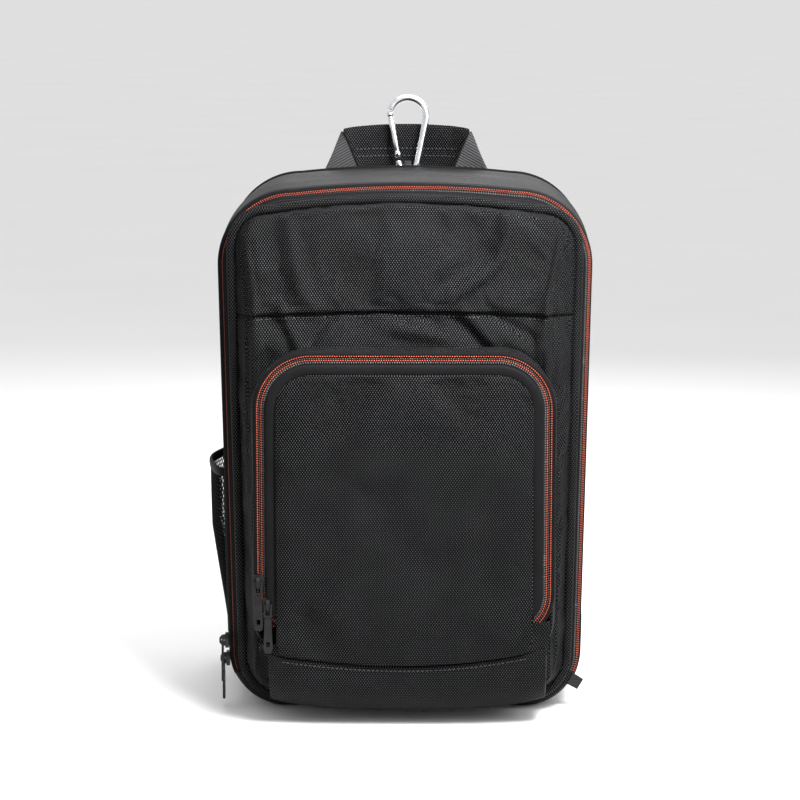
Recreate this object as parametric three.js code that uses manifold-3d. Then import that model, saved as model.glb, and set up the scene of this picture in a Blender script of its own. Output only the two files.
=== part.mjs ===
// A small padded backpack that carries a golf launch monitor.
// Millimetres, +Z up, the front faces -Y, +X is the right side seen from the front.
// The origin is on the ground under the middle of the base.

import * as THREE from 'three';
import { mergeVertices } from 'three/addons/utils/BufferGeometryUtils.js';
import Module from 'manifold-3d';

// ---- driving dimensions -------------------------------------------------------------

const GAP = 0.3;                     // clearance between neighbouring pieces

const BAG = {
  height: 351,                       // at the ends of the top edge
  crown: 4,                          // extra height in the middle of the top edge
  halfTop: 124,
  halfBottom: 118.5,
  cornerTop: 50,
  cornerBottom: 38,
  back: 76,                          // rear face of the back panel
  split: -72,                        // plane in which the front panel unzips
};
const FABRIC = 2;                    // gusset fabric with its lining
const BACK_PANEL = 3.7;
const BOARD = 1.6;
const FOAM = 8;
const ZIP_BODY_DEPTH = 5.4;          // how far each zip half reaches from the split plane
const ZIP_DOOR_DEPTH = 4.2;
const GUSSET_SPLIT_Z = 60;           // the upper gusset ends and the base gusset begins

const DOOR = {
  height: 348,                       // its top edge is rounder and its corners tighter
  crown: 7,                          // than those of the body behind it
  cornerTop: 34,
  foamFront: -79.7,
  panelFront: -83,
  pillowFront: -106.5,               // front of the raised front panel
  pillowInset: 13,
  seamZ: 272,                        // seam between upper and lower front panels
  pillowLow: 9,
};

const POCKET = {
  half: 98.5,
  low: 44.6,
  high: 250.5,
  cornerTop: 38,
  cornerBottom: 14,
  front: -123.7,                     // front rim of the pocket gusset
  faceFront: -131,
  zip: 3,                            // thickness of the tape with its teeth
};

const HANDLE = {
  half: 46,                          // half width of the grip
  foot: 57,                          // outer foot of each webbing leg
  pivotZ: 352,
  top: 385,
  low: 359,
  y: 79.2,
  bulge: 14,
  thick: 3.4,
};

const CARABINER = {
  wire: 2.4,
  lowRadius: 6.6,
  highRadius: 13.1,
  highCentre: 38.3,                  // above the lowest point of the centre line
  gateRadius: 2.1,
  x: 1,
  y: 83.9,
  z: 352.2,                          // lowest point of the centre line
  lean: 7.5,                         // degrees it leans back towards the grip
};

const STRAP = {
  top: 330,
  low: 128,
  width: 52,
  thick: 9,
  y: 84.2,
  topX: 36,
  lowX: 62,
  cornerX: 96,
  cornerZ: 26,
  webbing: 20,
};

const CORNER_TAB = { width: 30, round: 3 };
const LADDER_LOCK = { width: 28, round: 4, thick: 5, slot: 21 };
const PATCH = { half: 60, low: 322 };   // sewn under the feet of the haul handle

const MESH_POCKET = { low: 46, high: 154, front: -44, back: 46, bulge: 11.5, skin: 1.2 };

const SLIDER = {
  length: 9.5,
  wide: 7.6,
  narrow: 5.6,
  plate: 2.3,
  rise: 1.9,                         // from the plate to the hinge of the pull
  bridge: 2.2,
  wire: 0.65,
};
const MAIN_PULL = 28;                // from the hinge of the pull to its lower end
const POCKET_PULL = 32;
// The upper and the lower slider of each zip, with their pulls side by side.
const MAIN_SLIDERS = [{ z: 47, y: -76.2 }, { z: 33, y: -69.6 }];
const POCKET_SLIDERS = [{ z: 99, x: -95.2 }, { z: 84, x: -89 }];

// ---- materials ----------------------------------------------------------------------

const finish = (color, roughness, metalness = 0) => ({ color, roughness, metalness });
const BALLISTIC = finish(0x18181a, 0.78);
const PLAIN = finish(0x202022, 0.68);
const TAPE = finish(0x2a1a16, 0.6);
const FOAM_LINING = finish(0x2b2c2f, 0.9);
const BOARD_PLASTIC = finish(0x3a3a3c, 0.5);
const NET = finish(0x101011, 0.85);
const WEBBING = finish(0x1c1c1e, 0.7);
const MOULDED = finish(0x121213, 0.45);
const BLACK_METAL = finish(0x0e0e10, 0.32, 0.8);
const ALUMINIUM = finish(0xcfd2d6, 0.22, 1);

// ---- solids: closed bodies and the boolean operations on them -----------------------

const wasm = await Module();
wasm.setup();

function toSolid(geometry) {
  const bare = geometry.clone();
  bare.deleteAttribute('normal');
  bare.deleteAttribute('uv');
  const merged = mergeVertices(bare, 1e-4);
  return new wasm.Manifold(new wasm.Mesh({
    numProp: 3,
    vertProperties: merged.attributes.position.array,
    triVerts: new Uint32Array(merged.index.array),
  }));
}

function toGeometry(solid) {
  const mesh = solid.getMesh();
  const geometry = new THREE.BufferGeometry();
  geometry.setAttribute('position', new THREE.BufferAttribute(mesh.vertProperties, 3));
  geometry.setIndex(new THREE.BufferAttribute(mesh.triVerts, 1));
  geometry.computeVertexNormals();
  return geometry;
}

const cut = (body, ...tools) => toGeometry(
  tools.reduce((solid, tool) => solid.subtract(toSolid(tool)), toSolid(body)));
const keep = (body, tool) => toGeometry(toSolid(body).intersect(toSolid(tool)));
const join = (body, ...others) => toGeometry(
  others.reduce((solid, other) => solid.add(toSolid(other)), toSolid(body)));

// A box given by its lowest and highest corners.
function block(low, high) {
  const size = high.map((value, axis) => value - low[axis]);
  const middle = high.map((value, axis) => (value + low[axis]) / 2);
  return new THREE.BoxGeometry(...size).translate(...middle);
}

const above = (z) => block([-400, -400, z], [400, 400, 900]);
const below = (z) => block([-400, -400, -900], [400, 400, z]);

// ---- outlines in the X-Z plane and the slabs made from them -------------------------

// Rounded outline with straight sides that lean; the top edge may be crowned.
function roundedOutline({ halfLow, halfHigh, low, high, radiusLow, radiusHigh, crown = 0 }) {
  const shape = new THREE.Shape();
  shape.moveTo(-halfLow + radiusLow, low);
  shape.lineTo(halfLow - radiusLow, low);
  shape.absarc(halfLow - radiusLow, low + radiusLow, radiusLow, -Math.PI / 2, 0, false);
  shape.lineTo(halfHigh, high - radiusHigh);
  shape.absarc(halfHigh - radiusHigh, high - radiusHigh, radiusHigh, 0, Math.PI / 2, false);
  shape.quadraticCurveTo(0, high + 2 * crown, -halfHigh + radiusHigh, high);
  shape.absarc(-halfHigh + radiusHigh, high - radiusHigh, radiusHigh, Math.PI / 2, Math.PI, false);
  shape.lineTo(-halfLow, low + radiusLow);
  shape.absarc(-halfLow + radiusLow, low + radiusLow, radiusLow, Math.PI, Math.PI * 1.5, false);
  return shape;
}

// The outline of the bag seen from the front, moved inwards by an inset.
const bagOutline = (inset) => roundedOutline({
  halfLow: BAG.halfBottom - inset,
  halfHigh: BAG.halfTop - inset,
  low: inset,
  high: BAG.height - inset,
  radiusLow: BAG.cornerBottom - inset,
  radiusHigh: BAG.cornerTop - inset,
  crown: BAG.crown,
});

// The outline of the front door's piping and panels.
const doorOutline = (inset) => roundedOutline({
  halfLow: BAG.halfBottom - inset,
  halfHigh: BAG.halfTop - inset,
  low: inset,
  high: DOOR.height - inset,
  radiusLow: BAG.cornerBottom - inset,
  radiusHigh: DOOR.cornerTop - inset,
  crown: DOOR.crown,
});

// The outline of the front pocket; the lower edge has an inset of its own.
const pocketOutline = (inset, lowInset = inset) => roundedOutline({
  halfLow: POCKET.half - inset,
  halfHigh: POCKET.half - inset,
  low: POCKET.low + lowInset,
  high: POCKET.high - inset,
  radiusLow: Math.max(POCKET.cornerBottom - inset, 2),
  radiusHigh: POCKET.cornerTop - inset,
});

const CURVE_STEPS = 7;

// An X-Z shape as a slab between two depths.
function slab(shape, front, back, bevel = {}) {
  const options = { depth: back - front, bevelEnabled: false, curveSegments: CURVE_STEPS, ...bevel };
  return new THREE.ExtrudeGeometry(shape, options).rotateX(Math.PI / 2).translate(0, back, 0);
}

function frame(outer, inner, front, back) {
  const shape = outer.clone();
  shape.holes.push(new THREE.Path(inner.getPoints(CURVE_STEPS)));
  return slab(shape, front, back);
}

// A Y-Z shape extruded along X and centred on x.
function crossSlab(shape, width, x = 0) {
  const geometry = new THREE.ExtrudeGeometry(shape, {
    depth: width,
    bevelEnabled: false,
    curveSegments: CURVE_STEPS,
  });
  return geometry.rotateX(Math.PI / 2).rotateZ(Math.PI / 2).translate(x - width / 2, 0, 0);
}

// A closed skin between two surfaces, each a function of u and v from 0 to 1.
function skinSolid(columns, rows, outer, inner) {
  const positions = [];
  const stride = rows + 1;
  const layer = (columns + 1) * stride;
  for (const surface of [outer, inner])
    for (let i = 0; i <= columns; i += 1)
      for (let j = 0; j <= rows; j += 1) positions.push(...surface(i / columns, j / rows));
  const index = [];
  const quad = (a, b, c, d) => index.push(a, b, c, a, c, d);
  for (let i = 0; i < columns; i += 1)
    for (let j = 0; j < rows; j += 1) {
      const a = i * stride + j;
      const b = a + stride;
      quad(a, b, b + 1, a + 1);
      quad(layer + a, layer + a + 1, layer + b + 1, layer + b);
    }
  for (let i = 0; i < columns; i += 1)
    for (const j of [0, rows]) {
      const a = i * stride + j;
      const b = a + stride;
      if (j === 0) quad(a, layer + a, layer + b, b);
      else quad(a, b, layer + b, layer + a);
    }
  for (let j = 0; j < rows; j += 1)
    for (const i of [0, columns]) {
      const a = i * stride + j;
      if (i === 0) quad(a, a + 1, layer + a + 1, layer + a);
      else quad(a, layer + a, layer + a + 1, a + 1);
    }
  const geometry = new THREE.BufferGeometry();
  geometry.setAttribute('position', new THREE.Float32BufferAttribute(positions, 3));
  geometry.setIndex(index);
  geometry.computeVertexNormals();
  return geometry;
}

// ---- the model ----------------------------------------------------------------------

const backpack = new THREE.Group();

function add(name, geometry, material) {
  const mesh = new THREE.Mesh(geometry, new THREE.MeshStandardMaterial(material));
  mesh.name = name;
  backpack.add(mesh);
  return mesh;
}

const sides = [['left', -1], ['right', 1]];
const lerp = (a, b, t) => a + (b - a) * t;
const sideAt = (z) => lerp(BAG.halfBottom, BAG.halfTop,
  THREE.MathUtils.clamp((z - BAG.cornerBottom) / (BAG.height - BAG.cornerTop - BAG.cornerBottom), 0, 1));

// Main compartment: back panel, board, gussets and the foam that lines them.
function mainCompartment() {
  const panelFront = BAG.back - BACK_PANEL;
  const boardFront = panelFront - GAP - BOARD;
  const foamBack = boardFront - GAP;
  const gussetFront = BAG.split + ZIP_BODY_DEPTH + GAP;
  add('back_panel', slab(bagOutline(0), panelFront, BAG.back), BALLISTIC);
  add('back_stiffener_board', slab(bagOutline(FABRIC + 3), boardFront, panelFront - GAP), BOARD_PLASTIC);
  add('back_foam', slab(bagOutline(FABRIC + 3), foamBack - FOAM, foamBack), FOAM_LINING);

  const gusset = frame(bagOutline(0), bagOutline(FABRIC), gussetFront, panelFront - GAP);
  add('upper_gusset', keep(gusset, above(GUSSET_SPLIT_Z + GAP)), PLAIN);
  add('base_gusset', keep(gusset, below(GUSSET_SPLIT_Z)), BALLISTIC);

  const outerInset = FABRIC + GAP;
  const foamInset = outerInset + FOAM;
  const foamEnd = foamBack - FOAM - GAP;
  const liner = frame(bagOutline(outerInset), bagOutline(foamInset), gussetFront + 1.5, foamEnd);
  const topLimit = BAG.height - BAG.cornerTop;
  const lowLimit = BAG.cornerBottom;
  add('top_foam', keep(liner, above(topLimit + GAP)), FOAM_LINING);
  add('bottom_foam', keep(liner, below(lowLimit)), FOAM_LINING);
  const middle = block([0, -400, lowLimit + GAP], [400, 400, topLimit]);
  add('right_foam', keep(liner, middle), FOAM_LINING);
  add('left_foam', keep(liner, middle.clone().translate(-400, 0, 0)), FOAM_LINING);
}

// The main zip runs all round the split plane: one half on the body, one on the door.
function mainZip() {
  const bodyHalf = frame(bagOutline(0.5), bagOutline(5), BAG.split + GAP, BAG.split + ZIP_BODY_DEPTH);
  add('main_zip_body_half', bodyHalf, TAPE);
  const doorFront = BAG.split - GAP - ZIP_DOOR_DEPTH;
  add('main_zip_door_half', frame(bagOutline(1.5), bagOutline(5.5), doorFront, BAG.split - GAP), TAPE);
  add('main_zip_flap', frame(bagOutline(3.6), bagOutline(8), doorFront - GAP - 3, doorFront - GAP), PLAIN);
  const radius = BAG.cornerBottom;
  const tab = new THREE.BoxGeometry(6, 1.6, 9).translate(radius + GAP + 3.2, 0, 0);
  tab.rotateY(Math.PI / 6).translate(BAG.halfBottom - radius, BAG.split - 0.9, radius);
  add('main_zip_end_tab', tab, WEBBING);
}

// Front door: foam, structural panel, piping and the raised front panel in two pieces.
function mainDoor() {
  add('door_foam', slab(bagOutline(8.5), DOOR.foamFront, BAG.split - GAP), FOAM_LINING);
  add('door_panel', slab(doorOutline(11.3), DOOR.panelFront, DOOR.foamFront - GAP), BALLISTIC);
  add('door_piping', frame(doorOutline(4.2), doorOutline(11), DOOR.panelFront - 0.8, DOOR.foamFront - GAP),
    BALLISTIC);

  const slope = 13;
  const back = DOOR.panelFront - GAP;
  const pillow = slab(doorOutline(DOOR.pillowInset + slope), DOOR.pillowFront + 20, back, {
    bevelEnabled: true,
    bevelThickness: 20,
    bevelSize: slope,
    bevelSegments: 2,
  });
  const inFront = keep(pillow, block([-200, -200, DOOR.pillowLow], [200, back, 400]));
  add('lower_front_panel', keep(inFront, below(DOOR.seamZ - 0.6)), BALLISTIC);
  const wedge = new THREE.BoxGeometry(400, 60, 200).translate(0, -30, 0);
  wedge.rotateX(-0.2).translate(0, DOOR.pillowFront + 5.5, DOOR.seamZ);
  add('upper_front_panel', cut(keep(inFront, above(DOOR.seamZ + 0.6)), wedge), BALLISTIC);
}

// Front pocket: gusset, sloping base band, and the door with its zip and flap.
function frontPocket() {
  const back = DOOR.pillowFront - GAP;
  add('pocket_gusset', frame(pocketOutline(0), pocketOutline(FABRIC), POCKET.front, back), BALLISTIC);

  const band = new THREE.Shape([
    new THREE.Vector2(back, POCKET.low - GAP),
    new THREE.Vector2(POCKET.faceFront + 4.5, POCKET.low - GAP),
    new THREE.Vector2(POCKET.faceFront + 8, 30),
    new THREE.Vector2(-113, DOOR.pillowLow + 1),
    new THREE.Vector2(back, DOOR.pillowLow),
  ]);
  add('pocket_base_band', crossSlab(band, 2 * (POCKET.half - 12)), BALLISTIC);

  const zipFront = POCKET.front - GAP - POCKET.zip;
  const rail = (outerInset, innerInset, front) => keep(
    frame(pocketOutline(outerInset, -30), pocketOutline(innerInset, -20), front, POCKET.front - GAP),
    above(POCKET.low + 12));
  add('pocket_zip_body_half', rail(0, 4, zipFront), TAPE);
  add('pocket_zip_face_half', rail(4.4, 8, zipFront), TAPE);
  const sliderNotch = block([-POCKET.half, -200, 0], [-POCKET.half + 16, 0, POCKET_SLIDERS[1].z + 6]);
  add('pocket_zip_flap', cut(rail(8.3, 15.6, POCKET.faceFront + 1), sliderNotch), PLAIN);
  add('pocket_face', slab(pocketOutline(15.9, 1.2), POCKET.faceFront, POCKET.front - GAP), BALLISTIC);
  const garageInset = 8;
  const garage = block(
    [POCKET.half - garageInset + GAP, POCKET.faceFront + 1.5, POCKET.low + 8],
    [POCKET.half - 0.5, zipFront - GAP, POCKET.low + 28]);
  add('pocket_zip_garage', garage, PLAIN);
}

// Net pocket on the left side, sewn along three edges and open at the top.
function meshPocket() {
  const { low, high, front, back, bulge, skin } = MESH_POCKET;
  const surface = (lift) => (u, v) => {
    const z = lerp(low, high, v);
    const across = Math.sin(Math.PI * u) ** 0.6;
    const along = Math.min(1, v / 0.62) ** 0.7;
    return [-sideAt(z) - GAP - lift - bulge * across * along, lerp(front, back, 1 - u), z];
  };
  add('side_mesh_pocket', skinSolid(10, 8, surface(skin), surface(0)), NET);
  const rim = (lift, z) => (u, v) => {
    const [x, y] = surface(lift)(u, 1);
    return [x, y, z + 5 * v];
  };
  add('mesh_pocket_binding', skinSolid(10, 1, rim(skin + 0.3, high + GAP), rim(-0.2, high + GAP)), PLAIN);
}

// Padded back: two long pads and a lower one behind the shoulder straps.
function backPads() {
  const pad = (x0, x1, z0, z1) => {
    const shape = roundedOutline({
      halfLow: (x1 - x0) / 2, halfHigh: (x1 - x0) / 2, low: z0, high: z1, radiusLow: 14, radiusHigh: 14,
    });
    return slab(shape, BAG.back + GAP, BAG.back + 7.6).translate((x0 + x1) / 2, 0, 0);
  };
  for (const [side, s] of sides)
    add(`back_pad_${side}`, s > 0 ? pad(6, 98, 108, 318) : pad(-98, -6, 108, 318), NET);
  add('lumbar_pad', pad(-84, 84, 30, 100), NET);
}

// A strap of constant width along a straight line in the X-Z plane, with rounded ends.
function strapShape([x0, z0], [x1, z1], width, round) {
  const along = new THREE.Vector2(x1 - x0, z1 - z0);
  const length = along.length();
  const shape = roundedOutline({
    halfLow: width / 2, halfHigh: width / 2, low: 0, high: length, radiusLow: round, radiusHigh: round,
  });
  const turn = Math.atan2(-along.x, along.y);
  const points = shape.getPoints(3).map((p) => p.rotateAround(new THREE.Vector2(), turn));
  return new THREE.Shape(points.map((p) => p.add(new THREE.Vector2(x0, z0))));
}

// Shoulder straps, laid flat against the back, with webbing, ladder locks and corner tabs.
function shoulderStraps() {
  for (const [side, s] of sides) {
    const top = [s * STRAP.topX, STRAP.top];
    const low = [s * STRAP.lowX, STRAP.low];
    const corner = [s * STRAP.cornerX, STRAP.cornerZ];
    const at = (t) => [lerp(low[0], corner[0], t), lerp(low[1], corner[1], t)];
    const { y, thick, webbing } = STRAP;
    add(`shoulder_strap_${side}`, slab(strapShape(low, top, STRAP.width, 12), y, y + thick), BALLISTIC);
    const lockFront = y + 0.4;
    const lockPart = (from, to, width, round, extra) => slab(
      strapShape(at(from), at(to), width, round), lockFront - extra, lockFront + LADDER_LOCK.thick + extra);
    const lock = cut(
      lockPart(0.03, 0.27, LADDER_LOCK.width, LADDER_LOCK.round, 0),
      lockPart(0.09, 0.13, LADDER_LOCK.slot, 1, 1),
      lockPart(0.18, 0.22, LADDER_LOCK.slot, 1, 1),
    );
    add(`strap_ladder_lock_${side}`, lock, MOULDED);
    add(`strap_webbing_${side}`, slab(strapShape(at(0.28), at(0.86), webbing, 1), y + 1, y + 2.8), WEBBING);
    const tab = strapShape(at(0.87), at(1.12), CORNER_TAB.width, CORNER_TAB.round);
    add(`strap_corner_tab_${side}`, slab(tab, y - 0.2, y + 4.6), BALLISTIC);
  }
}

// Haul handle: an anchor patch on the back panel, two webbing legs and a wide fabric grip.
function haulHandle() {
  const patch = roundedOutline({
    halfLow: PATCH.half, halfHigh: PATCH.half, low: PATCH.low, high: HANDLE.pivotZ - 1.6,
    radiusLow: 5, radiusHigh: 3,
  });
  add('handle_anchor_patch', slab(patch, BAG.back + GAP, BAG.back + 2.4), BALLISTIC);

  for (const [side, s] of sides) {
    const leg = new THREE.Shape([
      new THREE.Vector2(s * HANDLE.foot, HANDLE.pivotZ),
      new THREE.Vector2(s * (HANDLE.half + 1.5), HANDLE.top - 2),
      new THREE.Vector2(s * (HANDLE.half - 3), HANDLE.top - 2),
      new THREE.Vector2(s * (HANDLE.foot - 21), HANDLE.pivotZ),
    ]);
    add(`handle_webbing_${side}`, slab(leg, BAG.back + 0.5, BAG.back + 2.8), WEBBING);
  }

  const arc = (lift, t) => new THREE.Vector2(
    HANDLE.half * (2 * t - 1), HANDLE.y + lift + HANDLE.bulge * Math.sin(Math.PI * t) ** 0.8);
  const steps = Array.from({ length: 13 }, (_, i) => i / 12);
  const plan = new THREE.Shape([
    ...steps.map((t) => arc(0, t)),
    ...steps.reverse().map((t) => arc(HANDLE.thick, t)),
  ]);
  const grip = new THREE.ExtrudeGeometry(plan, { depth: HANDLE.top - HANDLE.low, bevelEnabled: false });
  add('handle_grip', grip.translate(0, 0, HANDLE.low), BALLISTIC);
}

// Pear-shaped carabiner on a narrow webbing loop behind the top edge.
function carabiner() {
  const loopShape = new THREE.Shape();
  const loopY = CARABINER.y;
  const loopZ = CARABINER.z - 1.8;
  loopShape.absellipse(loopY, loopZ, 5, 8.6, 0, Math.PI * 2);
  const eye = new THREE.Path();
  eye.absellipse(loopY, loopZ, 3.4, 7, 0, Math.PI * 2);
  loopShape.holes.push(eye);
  add('carabiner_loop', crossSlab(loopShape, 5, CARABINER.x), WEBBING);

  const { lowRadius, highRadius, highCentre, wire, gateRadius } = CARABINER;
  const onArc = (radius, centre, degrees) => {
    const angle = THREE.MathUtils.degToRad(degrees);
    return new THREE.Vector3(radius * Math.cos(angle), 0, centre + radius * Math.sin(angle));
  };
  const points = [];
  for (let a = 186; a <= 348; a += 18) points.push(onArc(lowRadius, lowRadius, a));
  for (let a = -10; a <= 158; a += 14) points.push(onArc(highRadius, highCentre, a));
  const centreLine = new THREE.CatmullRomCurve3(points, false, 'centripetal');
  const section = new THREE.Shape();
  section.absarc(0, 0, wire, 0, Math.PI * 2);
  const place = (geometry) => geometry
    .rotateX(-THREE.MathUtils.degToRad(CARABINER.lean))
    .translate(CARABINER.x, CARABINER.y, CARABINER.z);
  const body = new THREE.ExtrudeGeometry(section, {
    steps: 30, curveSegments: 5, bevelEnabled: false, extrudePath: centreLine,
  });
  add('carabiner_body', place(body), ALUMINIUM);

  const upper = new THREE.Vector3(-12.9, 0, highCentre + 2.4);
  const lower = new THREE.Vector3(-7.0, 0, lowRadius + 2.9);
  const reach = new THREE.Vector3().subVectors(upper, lower);
  const gate = new THREE.CapsuleGeometry(gateRadius, reach.length(), 3, 10, 1);
  gate.applyQuaternion(new THREE.Quaternion().setFromUnitVectors(
    new THREE.Vector3(0, 1, 0), reach.clone().normalize()));
  const middle = upper.clone().add(lower).multiplyScalar(0.5);
  add('carabiner_gate', place(gate.translate(middle.x, middle.y, middle.z)), ALUMINIUM);
}

// One zip slider with its link and tab, made facing -Y with the hinge of the pull at the origin.
function sliderGeometries(pullLength) {
  const { length, wide, narrow, plate, rise, bridge, wire } = SLIDER;
  const outline = new THREE.Shape([
    new THREE.Vector2(-narrow / 2, -length / 2),
    new THREE.Vector2(narrow / 2, -length / 2),
    new THREE.Vector2(wide / 2, length * 0.2),
    new THREE.Vector2(wide / 2 - 1, length / 2),
    new THREE.Vector2(-wide / 2 + 1, length / 2),
    new THREE.Vector2(-wide / 2, length * 0.2),
  ]);
  const base = slab(outline, rise, rise + plate);
  const arch = new THREE.Shape();
  arch.moveTo(rise + 0.4, -4);
  arch.lineTo(rise + 0.4, 4);
  arch.lineTo(-0.6, 3.4);
  arch.lineTo(-2.2, 1.6);
  arch.lineTo(-2.2, -1.6);
  arch.lineTo(-0.6, -3.4);
  const eye = new THREE.Path();
  eye.absarc(0, 0, wire + 0.55, 0, Math.PI * 2, true);
  arch.holes.push(eye);
  const body = join(base, crossSlab(arch, bridge));

  const linkWidth = 5.6;
  const linkLow = -8.4;
  const ring = new THREE.Shape([
    new THREE.Vector2(-linkWidth / 2, wire),
    new THREE.Vector2(-linkWidth / 2, linkLow),
    new THREE.Vector2(linkWidth / 2, linkLow),
    new THREE.Vector2(linkWidth / 2, wire),
  ]);
  const inside = linkWidth / 2 - 2 * wire;
  ring.holes.push(new THREE.Path([
    new THREE.Vector2(-inside, -wire),
    new THREE.Vector2(inside, -wire),
    new THREE.Vector2(inside, linkLow + 1.6),
    new THREE.Vector2(-inside, linkLow + 1.6),
  ]));
  const link = slab(ring, -wire, wire);

  const tabTop = linkLow - GAP;
  const tabShape = new THREE.Shape([
    new THREE.Vector2(-2.2, tabTop),
    new THREE.Vector2(-3, -pullLength + 3),
    new THREE.Vector2(-2.2, -pullLength),
    new THREE.Vector2(2.2, -pullLength),
    new THREE.Vector2(3, -pullLength + 3),
    new THREE.Vector2(2.2, tabTop),
  ]);
  tabShape.holes.push(new THREE.Path([
    new THREE.Vector2(-1.2, -pullLength + 4),
    new THREE.Vector2(1.2, -pullLength + 4),
    new THREE.Vector2(1.2, -pullLength + 7.4),
    new THREE.Vector2(-1.2, -pullLength + 7.4),
  ]));
  return { body, link, tab: slab(tabShape, -0.8, 0.8) };
}

function addSlider(zip, position, pullLength, place) {
  const { body, link, tab } = sliderGeometries(pullLength);
  add(`${zip}_slider_${position}`, place(body), BLACK_METAL);
  add(`${zip}_pull_link_${position}`, place(link), BLACK_METAL);
  add(`${zip}_pull_tab_${position}`, place(tab), MOULDED);
}

// Two sliders on the left run of each zip. Those of the main zip face the side.
function sliders() {
  const positions = ['upper', 'lower'];
  positions.forEach((position, i) => {
    const { y, z } = MAIN_SLIDERS[i];
    const x = -sideAt(z) - SLIDER.plate - SLIDER.rise;
    addSlider('main', position, MAIN_PULL, (g) => g.rotateZ(-Math.PI / 2).translate(x, y, z));
  });
  const y = POCKET.front - POCKET.zip - 2 * GAP - SLIDER.plate - SLIDER.rise;
  positions.forEach((position, i) => {
    const { x, z } = POCKET_SLIDERS[i];
    addSlider('pocket', position, POCKET_PULL, (g) => g.translate(x, y, z));
  });
}

mainCompartment();
mainZip();
mainDoor();
frontPocket();
meshPocket();
backPads();
shoulderStraps();
haulHandle();
carabiner();
sliders();

export default backpack;
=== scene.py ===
import math

import bpy
import numpy as np
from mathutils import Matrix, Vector


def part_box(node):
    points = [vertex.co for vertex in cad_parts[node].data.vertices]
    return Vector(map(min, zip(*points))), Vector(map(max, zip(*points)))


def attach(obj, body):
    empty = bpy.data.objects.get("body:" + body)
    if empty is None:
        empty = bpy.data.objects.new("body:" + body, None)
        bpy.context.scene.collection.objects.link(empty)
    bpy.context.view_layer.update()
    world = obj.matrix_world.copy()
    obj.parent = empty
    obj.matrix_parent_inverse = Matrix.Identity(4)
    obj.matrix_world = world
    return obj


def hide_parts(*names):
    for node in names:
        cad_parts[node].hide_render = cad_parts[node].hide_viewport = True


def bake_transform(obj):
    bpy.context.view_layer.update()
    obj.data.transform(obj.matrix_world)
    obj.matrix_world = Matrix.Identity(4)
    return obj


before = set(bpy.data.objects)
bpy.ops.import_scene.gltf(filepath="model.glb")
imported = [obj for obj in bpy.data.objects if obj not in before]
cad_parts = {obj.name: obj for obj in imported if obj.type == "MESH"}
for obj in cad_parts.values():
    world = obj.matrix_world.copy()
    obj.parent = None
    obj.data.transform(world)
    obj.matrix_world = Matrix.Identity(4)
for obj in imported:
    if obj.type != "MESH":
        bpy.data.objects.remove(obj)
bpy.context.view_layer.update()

# Lengths in this script are millimetres unless a name ends in _m. The object faces -Y.
MM = 0.001


def box_mm(node):
    low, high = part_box(node)
    return np.array(low) / MM, np.array(high) / MM


# ---- camera -------------------------------------------------------------------------

CAMERA = dict(target=(-3.85, 0.0, 199.0), distance=1900.0, azimuth=0.5, elevation=9.0, lens=123.3)


def make_camera():
    azimuth, elevation = math.radians(CAMERA["azimuth"]), math.radians(CAMERA["elevation"])
    back = Vector((math.sin(azimuth) * math.cos(elevation),
                   -math.cos(azimuth) * math.cos(elevation), math.sin(elevation)))
    data = bpy.data.cameras.new("camera")
    data.lens = CAMERA["lens"]
    data.sensor_width = 36.0
    data.clip_end = 300.0
    camera = bpy.data.objects.new("camera", data)
    camera.location = (Vector(CAMERA["target"]) + back * CAMERA["distance"]) * MM
    camera.rotation_mode = "QUATERNION"
    camera.rotation_quaternion = (-back).to_track_quat("-Z", "Y")
    bpy.context.scene.collection.objects.link(camera)
    bpy.context.scene.camera = camera


make_camera()

# ---- driving places, from the frame -------------------------------------------------

PANEL_HIGH = box_mm("back_panel")[1]
POCKET_LOW, POCKET_HIGH = box_mm("pocket_gusset")
FACE_LOW, FACE_HIGH = box_mm("pocket_face")
DOOR_LOW, DOOR_HIGH = box_mm("door_panel")
HALF_TOP = PANEL_HIGH[0]
BACK_Y = PANEL_HIGH[1]
SPLIT_Y = box_mm("main_zip_door_half")[1][1] + 0.3
# The bag's outline seen from the front; the door's top edge has its own corners and stays a little lower.
CROWN = 4.0
BAG_TOP = PANEL_HIGH[2] - CROWN
SEAM_Z = box_mm("lower_front_panel")[1][2] + 0.6
HALF_BOTTOM = 118.5
CORNER_TOP = 50.0
CORNER_BOTTOM = 38.0
DOOR_CORNER = 34.0
DOOR_DROP = 3.0

# ---- meshes -------------------------------------------------------------------------


def make_mesh(name, points, faces, smooth=True):
    mesh = bpy.data.meshes.new(name)
    mesh.from_pydata((np.asarray(points, float) * MM).tolist(), [], [tuple(map(int, f)) for f in faces])
    mesh.validate()
    mesh.update()
    piece = bpy.data.objects.new(name, mesh)
    bpy.context.scene.collection.objects.link(piece)
    if smooth:
        mesh.shade_smooth()
    return piece


def dress(piece, body, material, *nodes):
    piece.data.materials.clear()
    piece.data.materials.append(MATERIALS[material])
    if body:
        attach(piece, body)
    if nodes:
        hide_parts(*nodes)
    return piece


def solidify(piece, thickness, offset=-1.0):
    modifier = piece.modifiers.new("thickness", "SOLIDIFY")
    modifier.thickness = thickness * MM
    modifier.offset = offset
    modifier.use_even_offset = True
    return piece


def subdivide(piece, levels=1):
    modifier = piece.modifiers.new("subdivide", "SUBSURF")
    modifier.levels = levels
    modifier.render_levels = levels
    return piece


def bevel(piece, width, segments=3, angle=30):
    modifier = piece.modifiers.new("bevel", "BEVEL")
    modifier.width = width * MM
    modifier.segments = segments
    modifier.limit_method = "ANGLE"
    modifier.angle_limit = math.radians(angle)
    modifier.harden_normals = False
    return piece


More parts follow.
